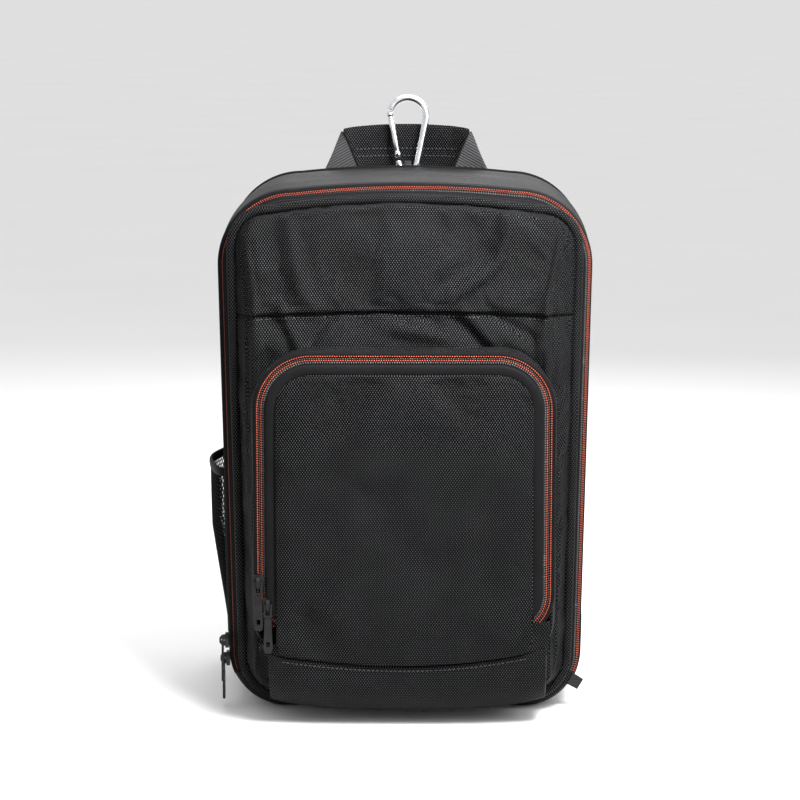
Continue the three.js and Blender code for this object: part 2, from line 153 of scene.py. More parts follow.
def loft(name, rings, close_along=True, close_across=False, cap=False):
    """Joins equal rows of points; rows run along, and successive rows go across."""
    rings = np.asarray(rings, float)
    rows, count = rings.shape[:2]
    faces = []
    for i in range(rows if close_across else rows - 1):
        a, b = i * count, ((i + 1) % rows) * count
        for j in range(count if close_along else count - 1):
            k = (j + 1) % count
            faces.append((a + j, a + k, b + k, b + j))
    if cap and close_across and not close_along:
        faces.append([i * count for i in range(rows)])
        faces.append([i * count + count - 1 for i in reversed(range(rows))])
    return make_mesh(name, rings.reshape(-1, 3), faces)


def solid_strip(name, rings):
    """A closed section carried along an open run, with both ends filled."""
    return loft(name, rings, close_along=False, close_across=True, cap=True)


def grid(name, columns, rows, place, keep=None):
    """A sheet of quads; place(u, v) takes arrays from 0 to 1 and gives points."""
    u, v = np.meshgrid(np.linspace(0, 1, columns + 1), np.linspace(0, 1, rows + 1), indexing="ij")
    points = np.stack(place(u, v), -1)
    index = np.arange((columns + 1) * (rows + 1)).reshape(columns + 1, rows + 1)
    quads = np.stack([index[:-1, :-1], index[1:, :-1], index[1:, 1:], index[:-1, 1:]], -1).reshape(-1, 4)
    points = points.reshape(-1, 3)
    if keep is not None:
        inside = keep(points)
        quads = quads[inside[quads].all(1)]
        used = np.unique(quads)
        renumber = np.zeros(len(points), int)
        renumber[used] = np.arange(len(used))
        points, quads = points[used], renumber[quads]
    return make_mesh(name, points, quads)


def smoothstep(low, high, value):
    t = np.clip((value - low) / (high - low), 0, 1)
    return t * t * (3 - 2 * t)


def hump(centre, width, value):
    return np.exp(-((value - centre) / width) ** 2)


def lerp(a, b, t):
    return a + (b - a) * t


def line_of(x, y, z):
    """Points from three coordinates, any of which may be a single number."""
    return np.stack(np.broadcast_arrays(x, y, z), -1).astype(float)


def vertex_array(mesh):
    points = np.empty(len(mesh.vertices) * 3)
    mesh.vertices.foreach_get("co", points)
    return points.reshape(-1, 3) / MM


def set_vertices(mesh, points):
    mesh.vertices.foreach_set("co", (points * MM).ravel())
    mesh.update()


def unit(vectors):
    return vectors / np.linalg.norm(vectors, axis=1)[:, None]


def square_to(normals, tangent):
    """Unit normals at right angles to the tangent."""
    return unit(normals - (normals * tangent).sum(1)[:, None] * tangent)


def path_lengths(points):
    return np.concatenate([[0], np.cumsum(np.linalg.norm(np.diff(points, axis=0), axis=1))])


def sample(points, lengths, at):
    return np.stack([np.interp(at, lengths, column) for column in points.T], -1)


# ---- outlines -----------------------------------------------------------------------


class Outline:
    """A rounded outline in the X-Z plane as evenly spaced points with outward normals."""

    def __init__(self, half_low, half_high, low, high, radius_low, radius_high, crown=0.0, step=2.0):
        def arc(cx, cz, radius, start, end):
            angles = np.radians(np.linspace(start, end, 25))
            return np.stack([cx + radius * np.cos(angles), cz + radius * np.sin(angles)], -1)

        top_x = half_high - radius_high
        x = np.linspace(top_x, -top_x, 41)
        top = np.stack([x, high + crown * (1 - (x / top_x) ** 2)], -1)
        points = np.concatenate([
            [[0.0, low]],
            arc(half_low - radius_low, low + radius_low, radius_low, -90, 0),
            arc(top_x, high - radius_high, radius_high, 0, 90),
            top,
            arc(-top_x, high - radius_high, radius_high, 90, 180),
            arc(-half_low + radius_low, low + radius_low, radius_low, 180, 270),
            [[0.0, low]],
        ])
        lengths = path_lengths(points)
        at = np.linspace(0, lengths[-1], int(lengths[-1] / step), endpoint=False)
        self.points = sample(points, lengths, at)
        tangent = unit(np.roll(self.points, -2, 0) - np.roll(self.points, 2, 0))
        self.normals = np.stack([tangent[:, 1], -tangent[:, 0]], -1)

    def at(self, inset, y):
        """The outline moved inwards, at a depth; both may vary from point to point."""
        moved = self.points - self.normals * np.reshape(inset, (-1, 1))
        moved[:, 1] = np.maximum(moved[:, 1], 0.0)
        depth = np.broadcast_to(y, len(moved))
        return np.stack([moved[:, 0], depth, moved[:, 1]], -1)

    def distance(self, x, z):
        """How far points lie inside the outline; negative outside it."""
        flat = np.stack([np.ravel(x), np.ravel(z)], -1)
        best = np.empty(len(flat))
        for start in range(0, len(flat), 4000):
            part = flat[start:start + 4000]
            gap = part[:, None, :] - self.points[None]
            nearest = (gap ** 2).sum(-1).argmin(1)
            chosen = gap[np.arange(len(part)), nearest]
            best[start:start + 4000] = -(chosen * self.normals[nearest]).sum(-1)
        return best.reshape(np.shape(x))


BAG = Outline(HALF_BOTTOM, HALF_TOP, 0.0, BAG_TOP, CORNER_BOTTOM, CORNER_TOP, CROWN)
DOOR = Outline(HALF_BOTTOM, HALF_TOP, 0.0, BAG_TOP - DOOR_DROP, CORNER_BOTTOM, DOOR_CORNER, CROWN + DOOR_DROP)
POCKET = Outline(POCKET_HIGH[0], POCKET_HIGH[0], POCKET_LOW[2], POCKET_HIGH[2], 26.0, 38.0)


def part_of(outline, wanted):
    """The run of an outline's point numbers that fulfil a test, in order."""
    inside = wanted(outline.points[:, 0], outline.points[:, 1])
    count = len(inside)
    start = next(i for i in range(count) if inside[i] and not inside[i - 1])
    run = []
    while inside[(start + len(run)) % count] and len(run) < count:
        run.append((start + len(run)) % count)
    return np.array(run)


# ---- materials ----------------------------------------------------------------------


INPUTS = {"metallic": "Metallic", "sheen": "Sheen Weight", "sheen_rough": "Sheen Roughness",
          "specular": "Specular IOR Level", "coat": "Coat Weight", "coat_rough": "Coat Roughness"}


class Graph:
    """Short forms for the nodes of one material."""

    def __init__(self, name):
        self.material = bpy.data.materials.new(name)
        self.material.use_nodes = True
        self.nodes = self.material.node_tree.nodes
        self.links = self.material.node_tree.links
        self.shader = self.nodes["Principled BSDF"]

    def node(self, kind, **values):
        made = self.nodes.new(kind)
        for key, value in values.items():
            setattr(made, key, value)
        return made

    def put(self, value, socket):
        if isinstance(value, bpy.types.NodeSocket):
            self.links.new(value, socket)
        else:
            socket.default_value = value

    def math(self, operation, a, b=None, c=None):
        made = self.node("ShaderNodeMath", operation=operation)
        for value, socket in zip((a, b, c), made.inputs):
            if value is not None:
                self.put(value, socket)
        return made.outputs[0]

    def mix(self, factor, a, b):
        return self.math("MULTIPLY_ADD", factor, self.math("SUBTRACT", b, a), a)

    def ramp(self, factor, *stops):
        made = self.node("ShaderNodeValToRGB")
        while len(made.color_ramp.elements) < len(stops):
            made.color_ramp.elements.new(0.5)
        for element, (place, colour) in zip(made.color_ramp.elements, stops):
            element.position = place
            element.color = (*colour, 1.0)
        self.put(factor, made.inputs[0])
        return made.outputs[0]

    def noise(self, vector, scale, detail=2.0, roughness=0.5):
        made = self.node("ShaderNodeTexNoise")
        made.inputs["Scale"].default_value = scale
        made.inputs["Detail"].default_value = detail
        made.inputs["Roughness"].default_value = roughness
        self.links.new(vector, made.inputs["Vector"])
        return made.outputs["Fac"]

    def surface_plane(self):
        """Two coordinates, in metres, that lie along the surface, and the point itself."""
        coordinates = self.node("ShaderNodeTexCoord")
        place = self.node("ShaderNodeSeparateXYZ")
        self.links.new(coordinates.outputs["Object"], place.inputs[0])
        facing = self.node("ShaderNodeSeparateXYZ")
        self.links.new(coordinates.outputs["Normal"], facing.inputs[0])
        nx, ny, nz = (self.math("ABSOLUTE", facing.outputs[k]) for k in range(3))
        side = self.math("MULTIPLY", self.math("GREATER_THAN", nx, ny), self.math("GREATER_THAN", nx, nz))
        flat = self.math("MULTIPLY", self.math("GREATER_THAN", nz, ny), self.math("GREATER_THAN", nz, nx))
        x, y, z = (place.outputs[k] for k in range(3))
        return self.mix(side, x, y), self.mix(flat, z, y), coordinates.outputs["Object"]

    def finish(self, colour, roughness, height=None, distance=0.0004, strength=0.6, **constants):
        self.put(colour, self.shader.inputs["Base Color"])
        self.put(roughness, self.shader.inputs["Roughness"])
        for key, value in constants.items():
            self.shader.inputs[INPUTS[key]].default_value = value
        if height is not None:
            bump = self.node("ShaderNodeBump")
            bump.inputs["Distance"].default_value = distance
            bump.inputs["Strength"].default_value = strength
            self.links.new(height, bump.inputs["Height"])
            self.links.new(bump.outputs[0], self.shader.inputs["Normal"])
        return self.material


def woven(name, dark, light, across_mm, up_mm, roughness, depth, sheen, sharp=1.6, strength=0.8):
    """Basket weave: raised thread crossings in staggered rows, with uneven yarn. The colour runs from near
    black in the hollows to light on the crossings. The weave is a real pattern; its bright crossings are
    painted highlights and its dark hollows are painted shade.
    """
    graph = Graph(name)
    u, v, point = graph.surface_plane()
    drift = graph.math("MULTIPLY_ADD", graph.noise(point, 14.0, 1.0), 0.0022, -0.0011)
    across = graph.math("COSINE", graph.math(
        "MULTIPLY", graph.math("ADD", u, drift), 2 * math.pi / (across_mm * MM)))
    along = graph.math("COSINE", graph.math(
        "MULTIPLY", graph.math("ADD", v, drift), 2 * math.pi / (up_mm * MM)))
    raised = graph.math("MULTIPLY_ADD", graph.math("MULTIPLY", across, along), 0.5, 0.5)
    cloudy = graph.noise(point, 38.0, 3.0)
    grain = graph.noise(point, 1300.0, 1.0)
    tone = graph.math("POWER", raised, sharp)
    tone = graph.math("MULTIPLY", tone, graph.math("MULTIPLY_ADD", cloudy, 0.9, 0.55))
    tone = graph.math("MULTIPLY", tone, graph.math("MULTIPLY_ADD", grain, 0.8, 0.6))
    # Painted highlight and shade: the raised crossings take the light colour and the hollows between them
    # take the dark one.
    colour = graph.ramp(tone, (0.0, dark), (1.0, light))
    rough = graph.math("MULTIPLY_ADD", cloudy, 0.16, roughness - 0.08)
    return graph.finish(colour, rough, raised, depth * MM, strength, sheen=sheen, sheen_rough=0.4,
                        specular=0.03)


def ribbed(name, dark, light, pitch, roughness, slope=0.0):
    """Webbing: raised ribs with fine threads over them; the ribs may rise towards the middle. The crests are
    coloured lighter than the grooves: painted highlight on the crests and painted shade in the grooves.
    """
    graph = Graph(name)
    along, v, point = graph.surface_plane()
    across = graph.math("MULTIPLY_ADD", graph.math("ABSOLUTE", along), slope, v)
    rib = graph.math("ABSOLUTE", graph.math("SINE", graph.math("MULTIPLY", across, math.pi / (pitch * MM))))
    thread = graph.math("ABSOLUTE", graph.math("SINE", graph.math("MULTIPLY", along, math.pi / (0.7 * MM))))
    height = graph.math("MULTIPLY_ADD", thread, 0.35, rib)
    cloudy = graph.noise(point, 60.0)
    tone = graph.math("MULTIPLY", height, graph.math("MULTIPLY_ADD", cloudy, 0.6, 0.5))
    # Painted highlight and shade: the colour follows the rib height.
    colour = graph.ramp(tone, (0.0, dark), (1.0, light))
    return graph.finish(colour, roughness, height, 0.0004, 0.8, sheen=0.05, sheen_rough=0.4, specular=0.2)


def moulded(name, colour, roughness, metallic=0.0, grain=0.25, coat=0.0, scale=1400.0, specular=0.5):
    graph = Graph(name)
    _, _, point = graph.surface_plane()
    fine = graph.noise(point, scale, 2.0)
    worn = graph.noise(point, 120.0, 3.0)
    lighter = tuple(min(1.0, c * 1.35 + 0.004) for c in colour)
    shade = graph.ramp(worn, (0.35, colour), (0.75, lighter))
    rough = graph.math("MULTIPLY_ADD", worn, 0.18, roughness - 0.09)
    return graph.finish(shade, rough, fine, 0.00008, grain, metallic=metallic, coat=coat, specular=specular)


def brushed_lining(name, dark, light):
    """Short-pile lining over foam."""
    graph = Graph(name)
    _, _, point = graph.surface_plane()
    pile = graph.noise(point, 1100.0, 4.0, 0.7)
    cloudy = graph.noise(point, 45.0, 3.0)
    tone = graph.math("MULTIPLY_ADD", cloudy, 0.5, graph.math("MULTIPLY", pile, 0.5))
    colour = graph.ramp(tone, (0.2, dark), (0.85, light))
    return graph.finish(colour, 0.92, pile, 0.0004, 0.6, sheen=0.15, sheen_rough=0.6, specular=0.15)


def perforated(name, dark, light, pitch):
    """Spacer net: rows of dimples set in brick order. The dimples are coloured dark and the ridges between
    them light: painted shade in the dimples.
    """
    graph = Graph(name)
    u, v, point = graph.surface_plane()
    row = graph.math("DIVIDE", v, pitch * MM * 0.8)
    shift = graph.math("MULTIPLY", graph.math("FLOORED_MODULO", graph.math("FLOOR", row), 2.0), 0.5)
    column = graph.math("ADD", graph.math("DIVIDE", u, pitch * MM), shift)
    across = graph.math("SINE", graph.math("MULTIPLY", graph.math("FRACT", column), math.pi))
    along = graph.math("SINE", graph.math("MULTIPLY", graph.math("FRACT", row), math.pi))
    dimple = graph.math("POWER", graph.math("MULTIPLY", across, along), 0.7)
    height = graph.math("SUBTRACT", 1.0, dimple)
    # Painted shade: the dimples take the dark colour.
    colour = graph.ramp(height, (0.05, dark), (0.6, light))
    return graph.finish(colour, 0.85, height, 0.0009, 0.9, sheen=0.05, sheen_rough=0.5, specular=0.2)


# Dark and light colours for tape and net. Dark is painted shade in the weave's hollows; light is painted
# highlight on its crossings.
YARN = ((0.0015, 0.0015, 0.0016), (0.014, 0.014, 0.015))
WEBBING_DARK = (0.002, 0.002, 0.0022)
MATERIALS = {
    # In the woven fabrics the dark colour fills the hollows and the light colour the crossings: painted shade
    # and painted highlight on black yarn.
    "ballistic": woven("ballistic", (0.0003, 0.0003, 0.00035), (0.088, 0.089, 0.093),
                       1.75, 2.6, 0.5, 0.5, 0.0, 6.0),
    "plain": woven("plain", (0.0028, 0.0028, 0.0030), (0.0120, 0.0120, 0.0128),
                   0.5, 0.7, 0.58, 0.08, 0.02, 1.0, 0.5),
    "tape": woven("tape", *YARN, 0.9, 1.2, 0.55, 0.12, 0.02),
    "net": woven("net", *YARN, 0.5, 0.7, 0.6, 0.1, 0.02),
    "lining": brushed_lining("lining", (0.010, 0.010, 0.011), (0.036, 0.036, 0.039)),
    "spacer": perforated("spacer", (0.001, 0.001, 0.001), (0.013, 0.013, 0.014), 3.2),
    "webbing": ribbed("webbing", WEBBING_DARK, (0.022, 0.022, 0.024), 1.9, 0.55),
    # Pale beads between the orange rows paint the glints on the glossy zip thread: painted highlights.
    "painted_glint_beads": moulded("painted_glint_beads", (0.26, 0.20, 0.17), 0.45),
    "handle_webbing": ribbed("handle_webbing", WEBBING_DARK, (0.045, 0.045, 0.047), 2.0, 0.5, slope=0.55),
    "thread": moulded("thread", (0.020, 0.020, 0.022), 0.5),
    "orange_thread": moulded("orange_thread", (0.40, 0.056, 0.018), 0.4, coat=0.1),
    # The teeth are coloured lighter than their black coil so that each one shows as a bright dot against the
    # black tape: painted glint.
    "teeth": moulded("teeth", (0.045, 0.045, 0.047), 0.25),
    "plastic": moulded("plastic", (0.007, 0.007, 0.0075), 0.38),
    "board": moulded("board", (0.09, 0.09, 0.095), 0.5),
    "metal": moulded("metal", (0.006, 0.006, 0.0065), 0.3, 0.0, 0.05, specular=0.22),
    "aluminium": moulded("aluminium", (0.60, 0.61, 0.63), 0.22, 1.0, 0.02),
}

# ---- rows of stitches, beads and teeth ----------------------------------------------


def bead_shape(around=8, rings=4):
    """A unit ball as points and faces, longest along X after scaling."""
    points = [(-1.0, 0.0, 0.0)]
    for i in range(1, rings):
        angle = math.pi * i / rings
        for j in range(around):
            turn = 2 * math.pi * j / around
            radius = math.sin(angle)
            points.append((-math.cos(angle), radius * math.cos(turn), radius * math.sin(turn)))
    points.append((1.0, 0.0, 0.0))
    last = len(points) - 1
    faces = [(0, 1 + (j + 1) % around, 1 + j) for j in range(around)]
    for i in range(rings - 2):
        a, b = 1 + i * around, 1 + (i + 1) * around
        faces += [(a + j, a + (j + 1) % around, b + (j + 1) % around, b + j) for j in range(around)]
    tail = 1 + (rings - 2) * around
    faces += [(last, tail + j, tail + (j + 1) % around) for j in range(around)]
    return np.array(points), faces


def along_path(path, normals, pitch, closed):
    """Evenly spaced places on a path, with tangent and surface normal."""
    if closed:
        path = np.concatenate([path, path[:1]])
        normals = np.concatenate([normals, normals[:1]])
    lengths = path_lengths(path)
    count = max(2, int(lengths[-1] / pitch))
    at = (np.arange(count) + 0.5) * lengths[-1] / count
    tangent = unit(sample(path, lengths, at + 0.5) - sample(path, lengths, at - 0.5))
    return sample(path, lengths, at), tangent, square_to(sample(normals, lengths, at), tangent)


FORWARD = (0.0, -1.0, 0.0)
BACKWARD = (0.0, 1.0, 0.0)


def row_of_beads(name, path, normals, pitch, size, lean=0.0, closed=False):
    """Small rounded pieces along a path: size is half length, half width and half height."""
    path = np.asarray(path, float)
    place, tangent, normal = along_path(path, np.broadcast_to(normals, path.shape), pitch, closed)
    side = np.cross(normal, tangent)
    turn = math.radians(lean)
    ahead = tangent * math.cos(turn) + side * math.sin(turn)
    aside = side * math.cos(turn) - tangent * math.sin(turn)
    shape, faces = bead_shape()
    axes = np.stack([ahead, aside, normal], 1) * np.array(size)[None, :, None]
    points = np.einsum("pk,nkx->npx", shape, axes) + place[:, None, :]
    count = len(shape)
    every = [tuple(i + n * count for i in face) for n in range(len(place)) for face in faces]
    return make_mesh(name, points.reshape(-1, 3), every)


def stitches(name, path, normals, body, pitch, size, closed=False):
    dress(row_of_beads(name, path, normals, pitch, size, closed=closed), body, "thread")


def tilted_normals(outline, degrees, run=None):
    """Normals between straight out of the side (0) and straight out of the front (90)."""
    angle = math.radians(degrees)
    x, z = outline.normals.T * math.cos(angle)
    normals = line_of(x, -math.sin(angle), z)
    return normals if run is None else normals[run]


def tube(name, path, radius, normals, closed=False, around=8, flatten=1.0):
    """A round or flattened cord along a path."""
    path = np.asarray(path, float)
    tangent = np.gradient(path, axis=0)
    if closed:
        tangent = np.roll(path, -1, 0) - np.roll(path, 1, 0)
    tangent = unit(tangent)
    normal = square_to(np.broadcast_to(normals, path.shape), tangent)
    side = np.cross(normal, tangent)
    radius = np.reshape(radius, (-1, 1))
    rings = []
    for j in range(around):
        turn = 2 * math.pi * j / around
        rings.append(path + side * radius * math.cos(turn) + normal * radius * flatten * math.sin(turn))
    return loft(name, rings, close_along=closed, close_across=True, cap=not closed)


# ---- main shell ---------------------------------------------------------------------


def profile_ring(name, outline, profile, run=None, closed=True, ripple=None):
    """Carries a closed cross-section of (inset, depth) pairs round an outline."""
    rings = []
    for inset, depth in profile:
        ring = outline.at(inset, depth)
        if ripple is not None:
            ring = ripple(ring, inset, depth)
        rings.append(ring if run is None else ring[run])
    return loft(name, rings, close_along=closed, close_across=True, cap=not closed)


def swell_of_side(depth, front, back):
    """How far the gusset fabric stands out between its two seams."""
    t = np.clip((depth - front) / (back - front), 0, 1)
    return np.sin(math.pi * t) ** 0.7


def main_shell():
    front, back = SPLIT_Y + 5.6, BACK_Y - 3.6
    bulge, wall = 1.6, 1.8
    steps = np.concatenate([[0, 0.008, 0.02], np.linspace(0.05, 0.95, 26), [0.98, 0.992, 1.0]])
    outer = []
    for t in steps:
        depth = lerp(front, back, t)
        edge = 0.9 * (1 - smoothstep(0, 0.02, t)) + 0.9 * smoothstep(0.98, 1.0, t)
        outer.append((edge - bulge * float(swell_of_side(depth, front, back)), depth))
    profile = outer + [(inset + wall, depth) for inset, depth in reversed(outer)]

    def ripple(ring, inset, depth):
        """Slow waves in the fabric between the seams."""
        t = (depth - front) / (back - front)
        wave = np.sin(ring[:, 0] * 0.043 + depth * 0.031) * np.sin(ring[:, 2] * 0.037 - depth * 0.05)
        lift = 0.9 * wave * math.sin(math.pi * t)
        upright = smoothstep(20, 60, ring[:, 2])
        ring = ring.copy()
        ring[:, [0, 2]] += BAG.normals * (lift * upright)[:, None]
        return ring

    split = box_mm("base_gusset")[1][2]
    upper = part_of(BAG, lambda x, z: z > split - 1.0)
    lower = part_of(BAG, lambda x, z: z < split + 1.0)
    dress(profile_ring("upper_gusset_fabric", BAG, profile, upper, False, ripple), "root", "plain",
          "upper_gusset")
    thicker = [(inset - 0.7 if k < len(outer) else inset, depth) for k, (inset, depth) in enumerate(profile)]
    dress(profile_ring("base_gusset_fabric", BAG, thicker, lower, False, ripple), "root", "ballistic",
          "base_gusset")


ZIP_END_Z = 22.0
BEAD_PITCH = 1.55
ROW_SHIFT = 0.9
PIPING_INSET = 9.6
PIPING_RADIUS = 3.1


def main_zip():
    y = SPLIT_Y
    run = part_of(BAG, lambda x, z: z > ZIP_END_Z)
    body_tape = [(0.2, y + 5.4), (-0.2, y + 3.0), (-0.1, y + 1.4), (0.6, y + 0.5), (2.0, y + 0.2),
                 (4.2, y + 0.4), (4.2, y + 2.0), (3.0, y + 5.4)]
    dress(profile_ring("main_zip_tape_body", BAG, body_tape, run, False), "root", "tape",
          "main_zip_body_half")
    door_tape = [(3.2, y + 0.1), (3.2, y - 0.5), (4.2, y - 1.2), (5.4, y - 2.2), (8.5, y - 4.4),
                 (8.5, y - 3.0), (5.0, y - 0.2)]
    dress(profile_ring("main_zip_tape_door", BAG, door_tape, run, False), "main_door", "tape",
          "main_zip_door_half")
    normals = tilted_normals(BAG, 62, run)
    rows = (
        ("main_zip_outer_row", "root", "orange_thread", 2.2, y - 0.1, (0.42, 0.32, 0.32), 38),
        # The middle row of pale beads is painted glint between the orange stitch rows.
        ("main_zip_middle_row", "root", "painted_glint_beads", 2.75, y + 0.1, (0.22, 0.16, 0.2), 0),
        ("main_zip_inner_row", "main_door", "orange_thread", 3.3, y - 0.8, (0.42, 0.3, 0.32), -38),
        ("main_zip_teeth", "main_door", "teeth", 5.0, y - 2.2, (0.42, 1.1, 0.9), 0),
    )
    for name, body, material, inset, depth, size, lean in rows:
        path = BAG.at(inset - ROW_SHIFT * BAG.points[:, 0] / HALF_TOP, depth)[run]
        dress(row_of_beads(name, path, normals, BEAD_PITCH, size, lean), body, material)
    flap = [(7.2, y - 3.2), (6.5, y - 4.2), (6.2, y - 5.6), (6.4, y - 6.8), (7.4, y - 7.6), (9.6, y - 7.6),
            (9.6, y - 5.6), (8.6, y - 3.6)]
    dress(profile_ring("main_zip_flap_fabric", BAG, flap), "main_door", "plain", "main_zip_flap")
    turn = np.radians(np.arange(0, 360, 22.5))
    cord = [(PIPING_INSET - PIPING_RADIUS * math.cos(a), y - 10.0 + PIPING_RADIUS * math.sin(a))
            for a in turn]
    dress(profile_ring("door_edge_piping", DOOR, cord), "main_door", "ballistic", "door_piping")
    base = part_of(BAG, lambda x, z: z < ZIP_END_Z + 3)
    web_profile = [(0.9, y + 6.5), (0.4, y + 3.0), (0.9, y), (2.4, y - 3.0), (4.6, y - 5.0), (8.4, y - 5.0),
                   (7.6, y - 1.6), (5.4, y + 2.0), (4.0, y + 6.5)]
    web = profile_ring("base_hinge_web", BAG, web_profile, base, False)
    dress(web, None, "ballistic")
    return web


# ---- front panel --------------------------------------------------------------------

PANEL_EDGE_Y = DOOR_LOW[1] + 1.0
TOP_RISE = 6.5
UPPER_RISE = 17.2
LOWER_RISE = 21.5
SLOPE_EDGE = 110.5
PANEL_HALF = 116.0
PANEL_FOOT = 7.0
PANEL_RIM = 9.0


def fold_line(x, z):
    """Half width of the raised face: each fold runs a little inwards below its corner."""
    right = lerp(94.0, 104.0, smoothstep(270, 335, z)) + 2.0 * smoothstep(240, 60, z)
    left = lerp(99.0, 106.0, smoothstep(270, 335, z)) + 1.0 * smoothstep(240, 60, z)
    return np.where(x > 0, right, left)


def seam_height(x):
    return SEAM_Z + 2.2 - 3.2 * (x / 100.0) ** 2


def pillow_depth(x, z, part):
    """Depth of the raised front panel's surface at a place on the front."""
    inside = DOOR.distance(x, z)
    fold = fold_line(x, z)
    slope = np.clip((SLOPE_EDGE - np.abs(x)) / (SLOPE_EDGE - fold), 0, 1)
    if part == "upper":
        below_top = np.clip((BAG_TOP - 10 - z) / 66.0, 0, 1)
        rise = TOP_RISE + (UPPER_RISE - TOP_RISE) * below_top ** 0.8
    else:
        rise = UPPER_RISE - 1.5 + (LOWER_RISE - UPPER_RISE + 1.5) * smoothstep(272, 246, z)
    top_limit = 3.0 * np.clip(inside - 13.0, 0, 60)
    rise = np.minimum(rise * slope ** 0.85, top_limit)
    ridge = 1.9 * hump(0, 2.0, np.abs(x) - fold + 1.0) - 2.2 * hump(0, 1.8, np.abs(x) - fold - 2.2)
    ridge = ridge * smoothstep(14, 24, inside)
    crowned = 2.4 * np.clip(1 - (x / 96.0) ** 2, 0, 1) * smoothstep(344, 300, z)
    return PANEL_EDGE_Y - rise - (crowned + ridge) * slope


def crease(x, z, start, end, width, depth):
    """A fold along a line between two places, fading at its ends: a ridge with a hollow beside it."""
    (x0, z0), (x1, z1) = start, end
    length = math.hypot(x1 - x0, z1 - z0)
    ux, uz = (x1 - x0) / length, (z1 - z0) / length
    along = ((x - x0) * ux + (z - z0) * uz) / length
    across = (x - x0) * uz - (z - z0) * ux
    fade = smoothstep(-0.12, 0.22, along) * smoothstep(1.12, 0.78, along)
    return depth * fade * (hump(0, width, across) - 0.8 * hump(1.9 * width, 1.3 * width, across))


# Start, end, width and depth of each fold; below the cross seam, then above it.
LOWER_FOLDS = (
    ((-82, 278), (-62, 236), 3.6, 2.6),
    ((-38, 272), (-58, 246), 4.0, 2.2),
    ((-24, 276), (22, 268), 4.5, -1.6),
    ((-10, 262), (30, 256), 4.0, 1.8),
    ((36, 277), (60, 250), 3.8, 3.0),
    ((50, 276), (90, 252), 4.6, -2.4),
    ((94, 284), (88, 240), 4.0, 1.8),
    ((-97, 268), (-90, 222), 4.0, 1.4),
)
UPPER_FOLDS = (
    ((-78, 334), (-66, 278), 6.0, 2.3),
    ((72, 336), (60, 304), 5.5, 2.8),
    ((62, 306), (24, 278), 5.5, 3.0),
    ((-100, 330), (-92, 292), 5.0, 1.8),
)


def creases(x, z):
    """All folds, slow waves above the cross seam and small puckers along it."""
    lower = sum(crease(x, z, *fold) for fold in LOWER_FOLDS)
    upper = sum(crease(x, z, *fold) for fold in UPPER_FOLDS)
    slow = 0.7 * np.sin(x * 0.055 + 0.6) * np.sin((z - 276) * 0.07) * smoothstep(272, 290, z)
    near_seam = 0.6 * np.sin(x * 0.21 + 1.0) * np.sin(x * 0.083) * hump(seam_height(x), 9.0, z)
    return lower + upper + slow + near_seam


def settle(piece, pinned, pressure, frames, cap, shrink=-0.02, stiffness=12.0):
    """Lets a sheet swell as cloth between its pinned points, never further than cap."""
    start = vertex_array(piece.data)
    group = piece.vertex_groups.new(name="pin")
    for number, weight in enumerate(pinned):
        if weight > 0:
            group.add([number], float(weight), "REPLACE")
    cloth = piece.modifiers.new("cloth", "CLOTH")
    settings = cloth.settings
    settings.quality = 5
    settings.mass = 0.3
    settings.tension_stiffness = stiffness
    settings.compression_stiffness = stiffness
    settings.shear_stiffness = stiffness * 0.6
    settings.bending_stiffness = 0.4
    settings.air_damping = 4.0
    settings.vertex_group_mass = "pin"
    settings.use_pressure = True
    settings.uniform_pressure_force = pressure
    settings.shrink_min = shrink
    settings.effector_weights.gravity = 0.0
    cloth.collision_settings.use_collision = False
    cloth.collision_settings.use_self_collision = False
    cloth.point_cache.frame_start = 1
    cloth.point_cache.frame_end = frames
    scene = bpy.context.scene
    for step in range(1, frames + 1):
        scene.frame_set(step)
    evaluated = piece.evaluated_get(bpy.context.evaluated_depsgraph_get())
    travel = vertex_array(evaluated.data) - start
    size = np.linalg.norm(travel, axis=1)
    scale = np.where(size > 1e-6, cap * np.tanh(size / cap) / np.maximum(size, 1e-6), 0)
    piece.modifiers.remove(cloth)
    set_vertices(piece.data, start + travel * scale[:, None])
    scene.frame_set(1)
    return piece


def front_panel():
    heights = {"upper": (SEAM_Z - 2, BAG_TOP + CROWN - PANEL_RIM), "lower": (PANEL_FOOT, SEAM_Z + 5)}

    for part, (z0, z1) in heights.items():
        def place(u, v, z0=z0, z1=z1, part=part):
            x = lerp(-PANEL_HALF, PANEL_HALF, u)
            seam = seam_height(x) - SEAM_Z
            z = lerp(z0, z1, v)
            if part == "upper":
                z = z + (seam + 1.6) * (1 - v)
            else:
                z = z + (seam - 3.0) * v
            y = pillow_depth(x, z, part) - creases(x, z)
            if part == "upper":
                y = y - 0.5 * (1 - smoothstep(0.0, 0.08, v))
            else:
                y = y + 1.6 * hump(seam_height(x), 2.4, z)
            return x, y, z

        rows = 46 if part == "upper" else 132
        piece = grid(f"{part}_front_panel_fabric", 150, rows, place,
                     lambda points: DOOR.distance(points[:, 0], points[:, 2]) > PANEL_RIM)
        x, _, z = vertex_array(piece.data).T
        near_rim = smoothstep(15, 11, DOOR.distance(x, z))
        near_fold = hump(0, 2.2, np.abs(x) - fold_line(x, z))
        near_seam = hump(0, 3.0, z - seam_height(x))
        held = np.maximum.reduce([near_rim, near_fold, near_seam])
        settle(piece, np.where(held > 0.5, 1.0, 0.0), -1.6, 14, 2.2)
        solidify(piece, 1.0, 1.0)
        dress(piece, "main_door", "ballistic", f"{part}_front_panel")
        if part == "lower":
            x = np.linspace(-102, 98, 140)
            z = seam_height(x) - 3.6
            line = line_of(x, pillow_depth(x, z, part) - creases(x, z) - 1.1, z)
            stitches("front_seam_stitches", line, FORWARD, "main_door", 2.9, (1.0, 0.34, 0.3))


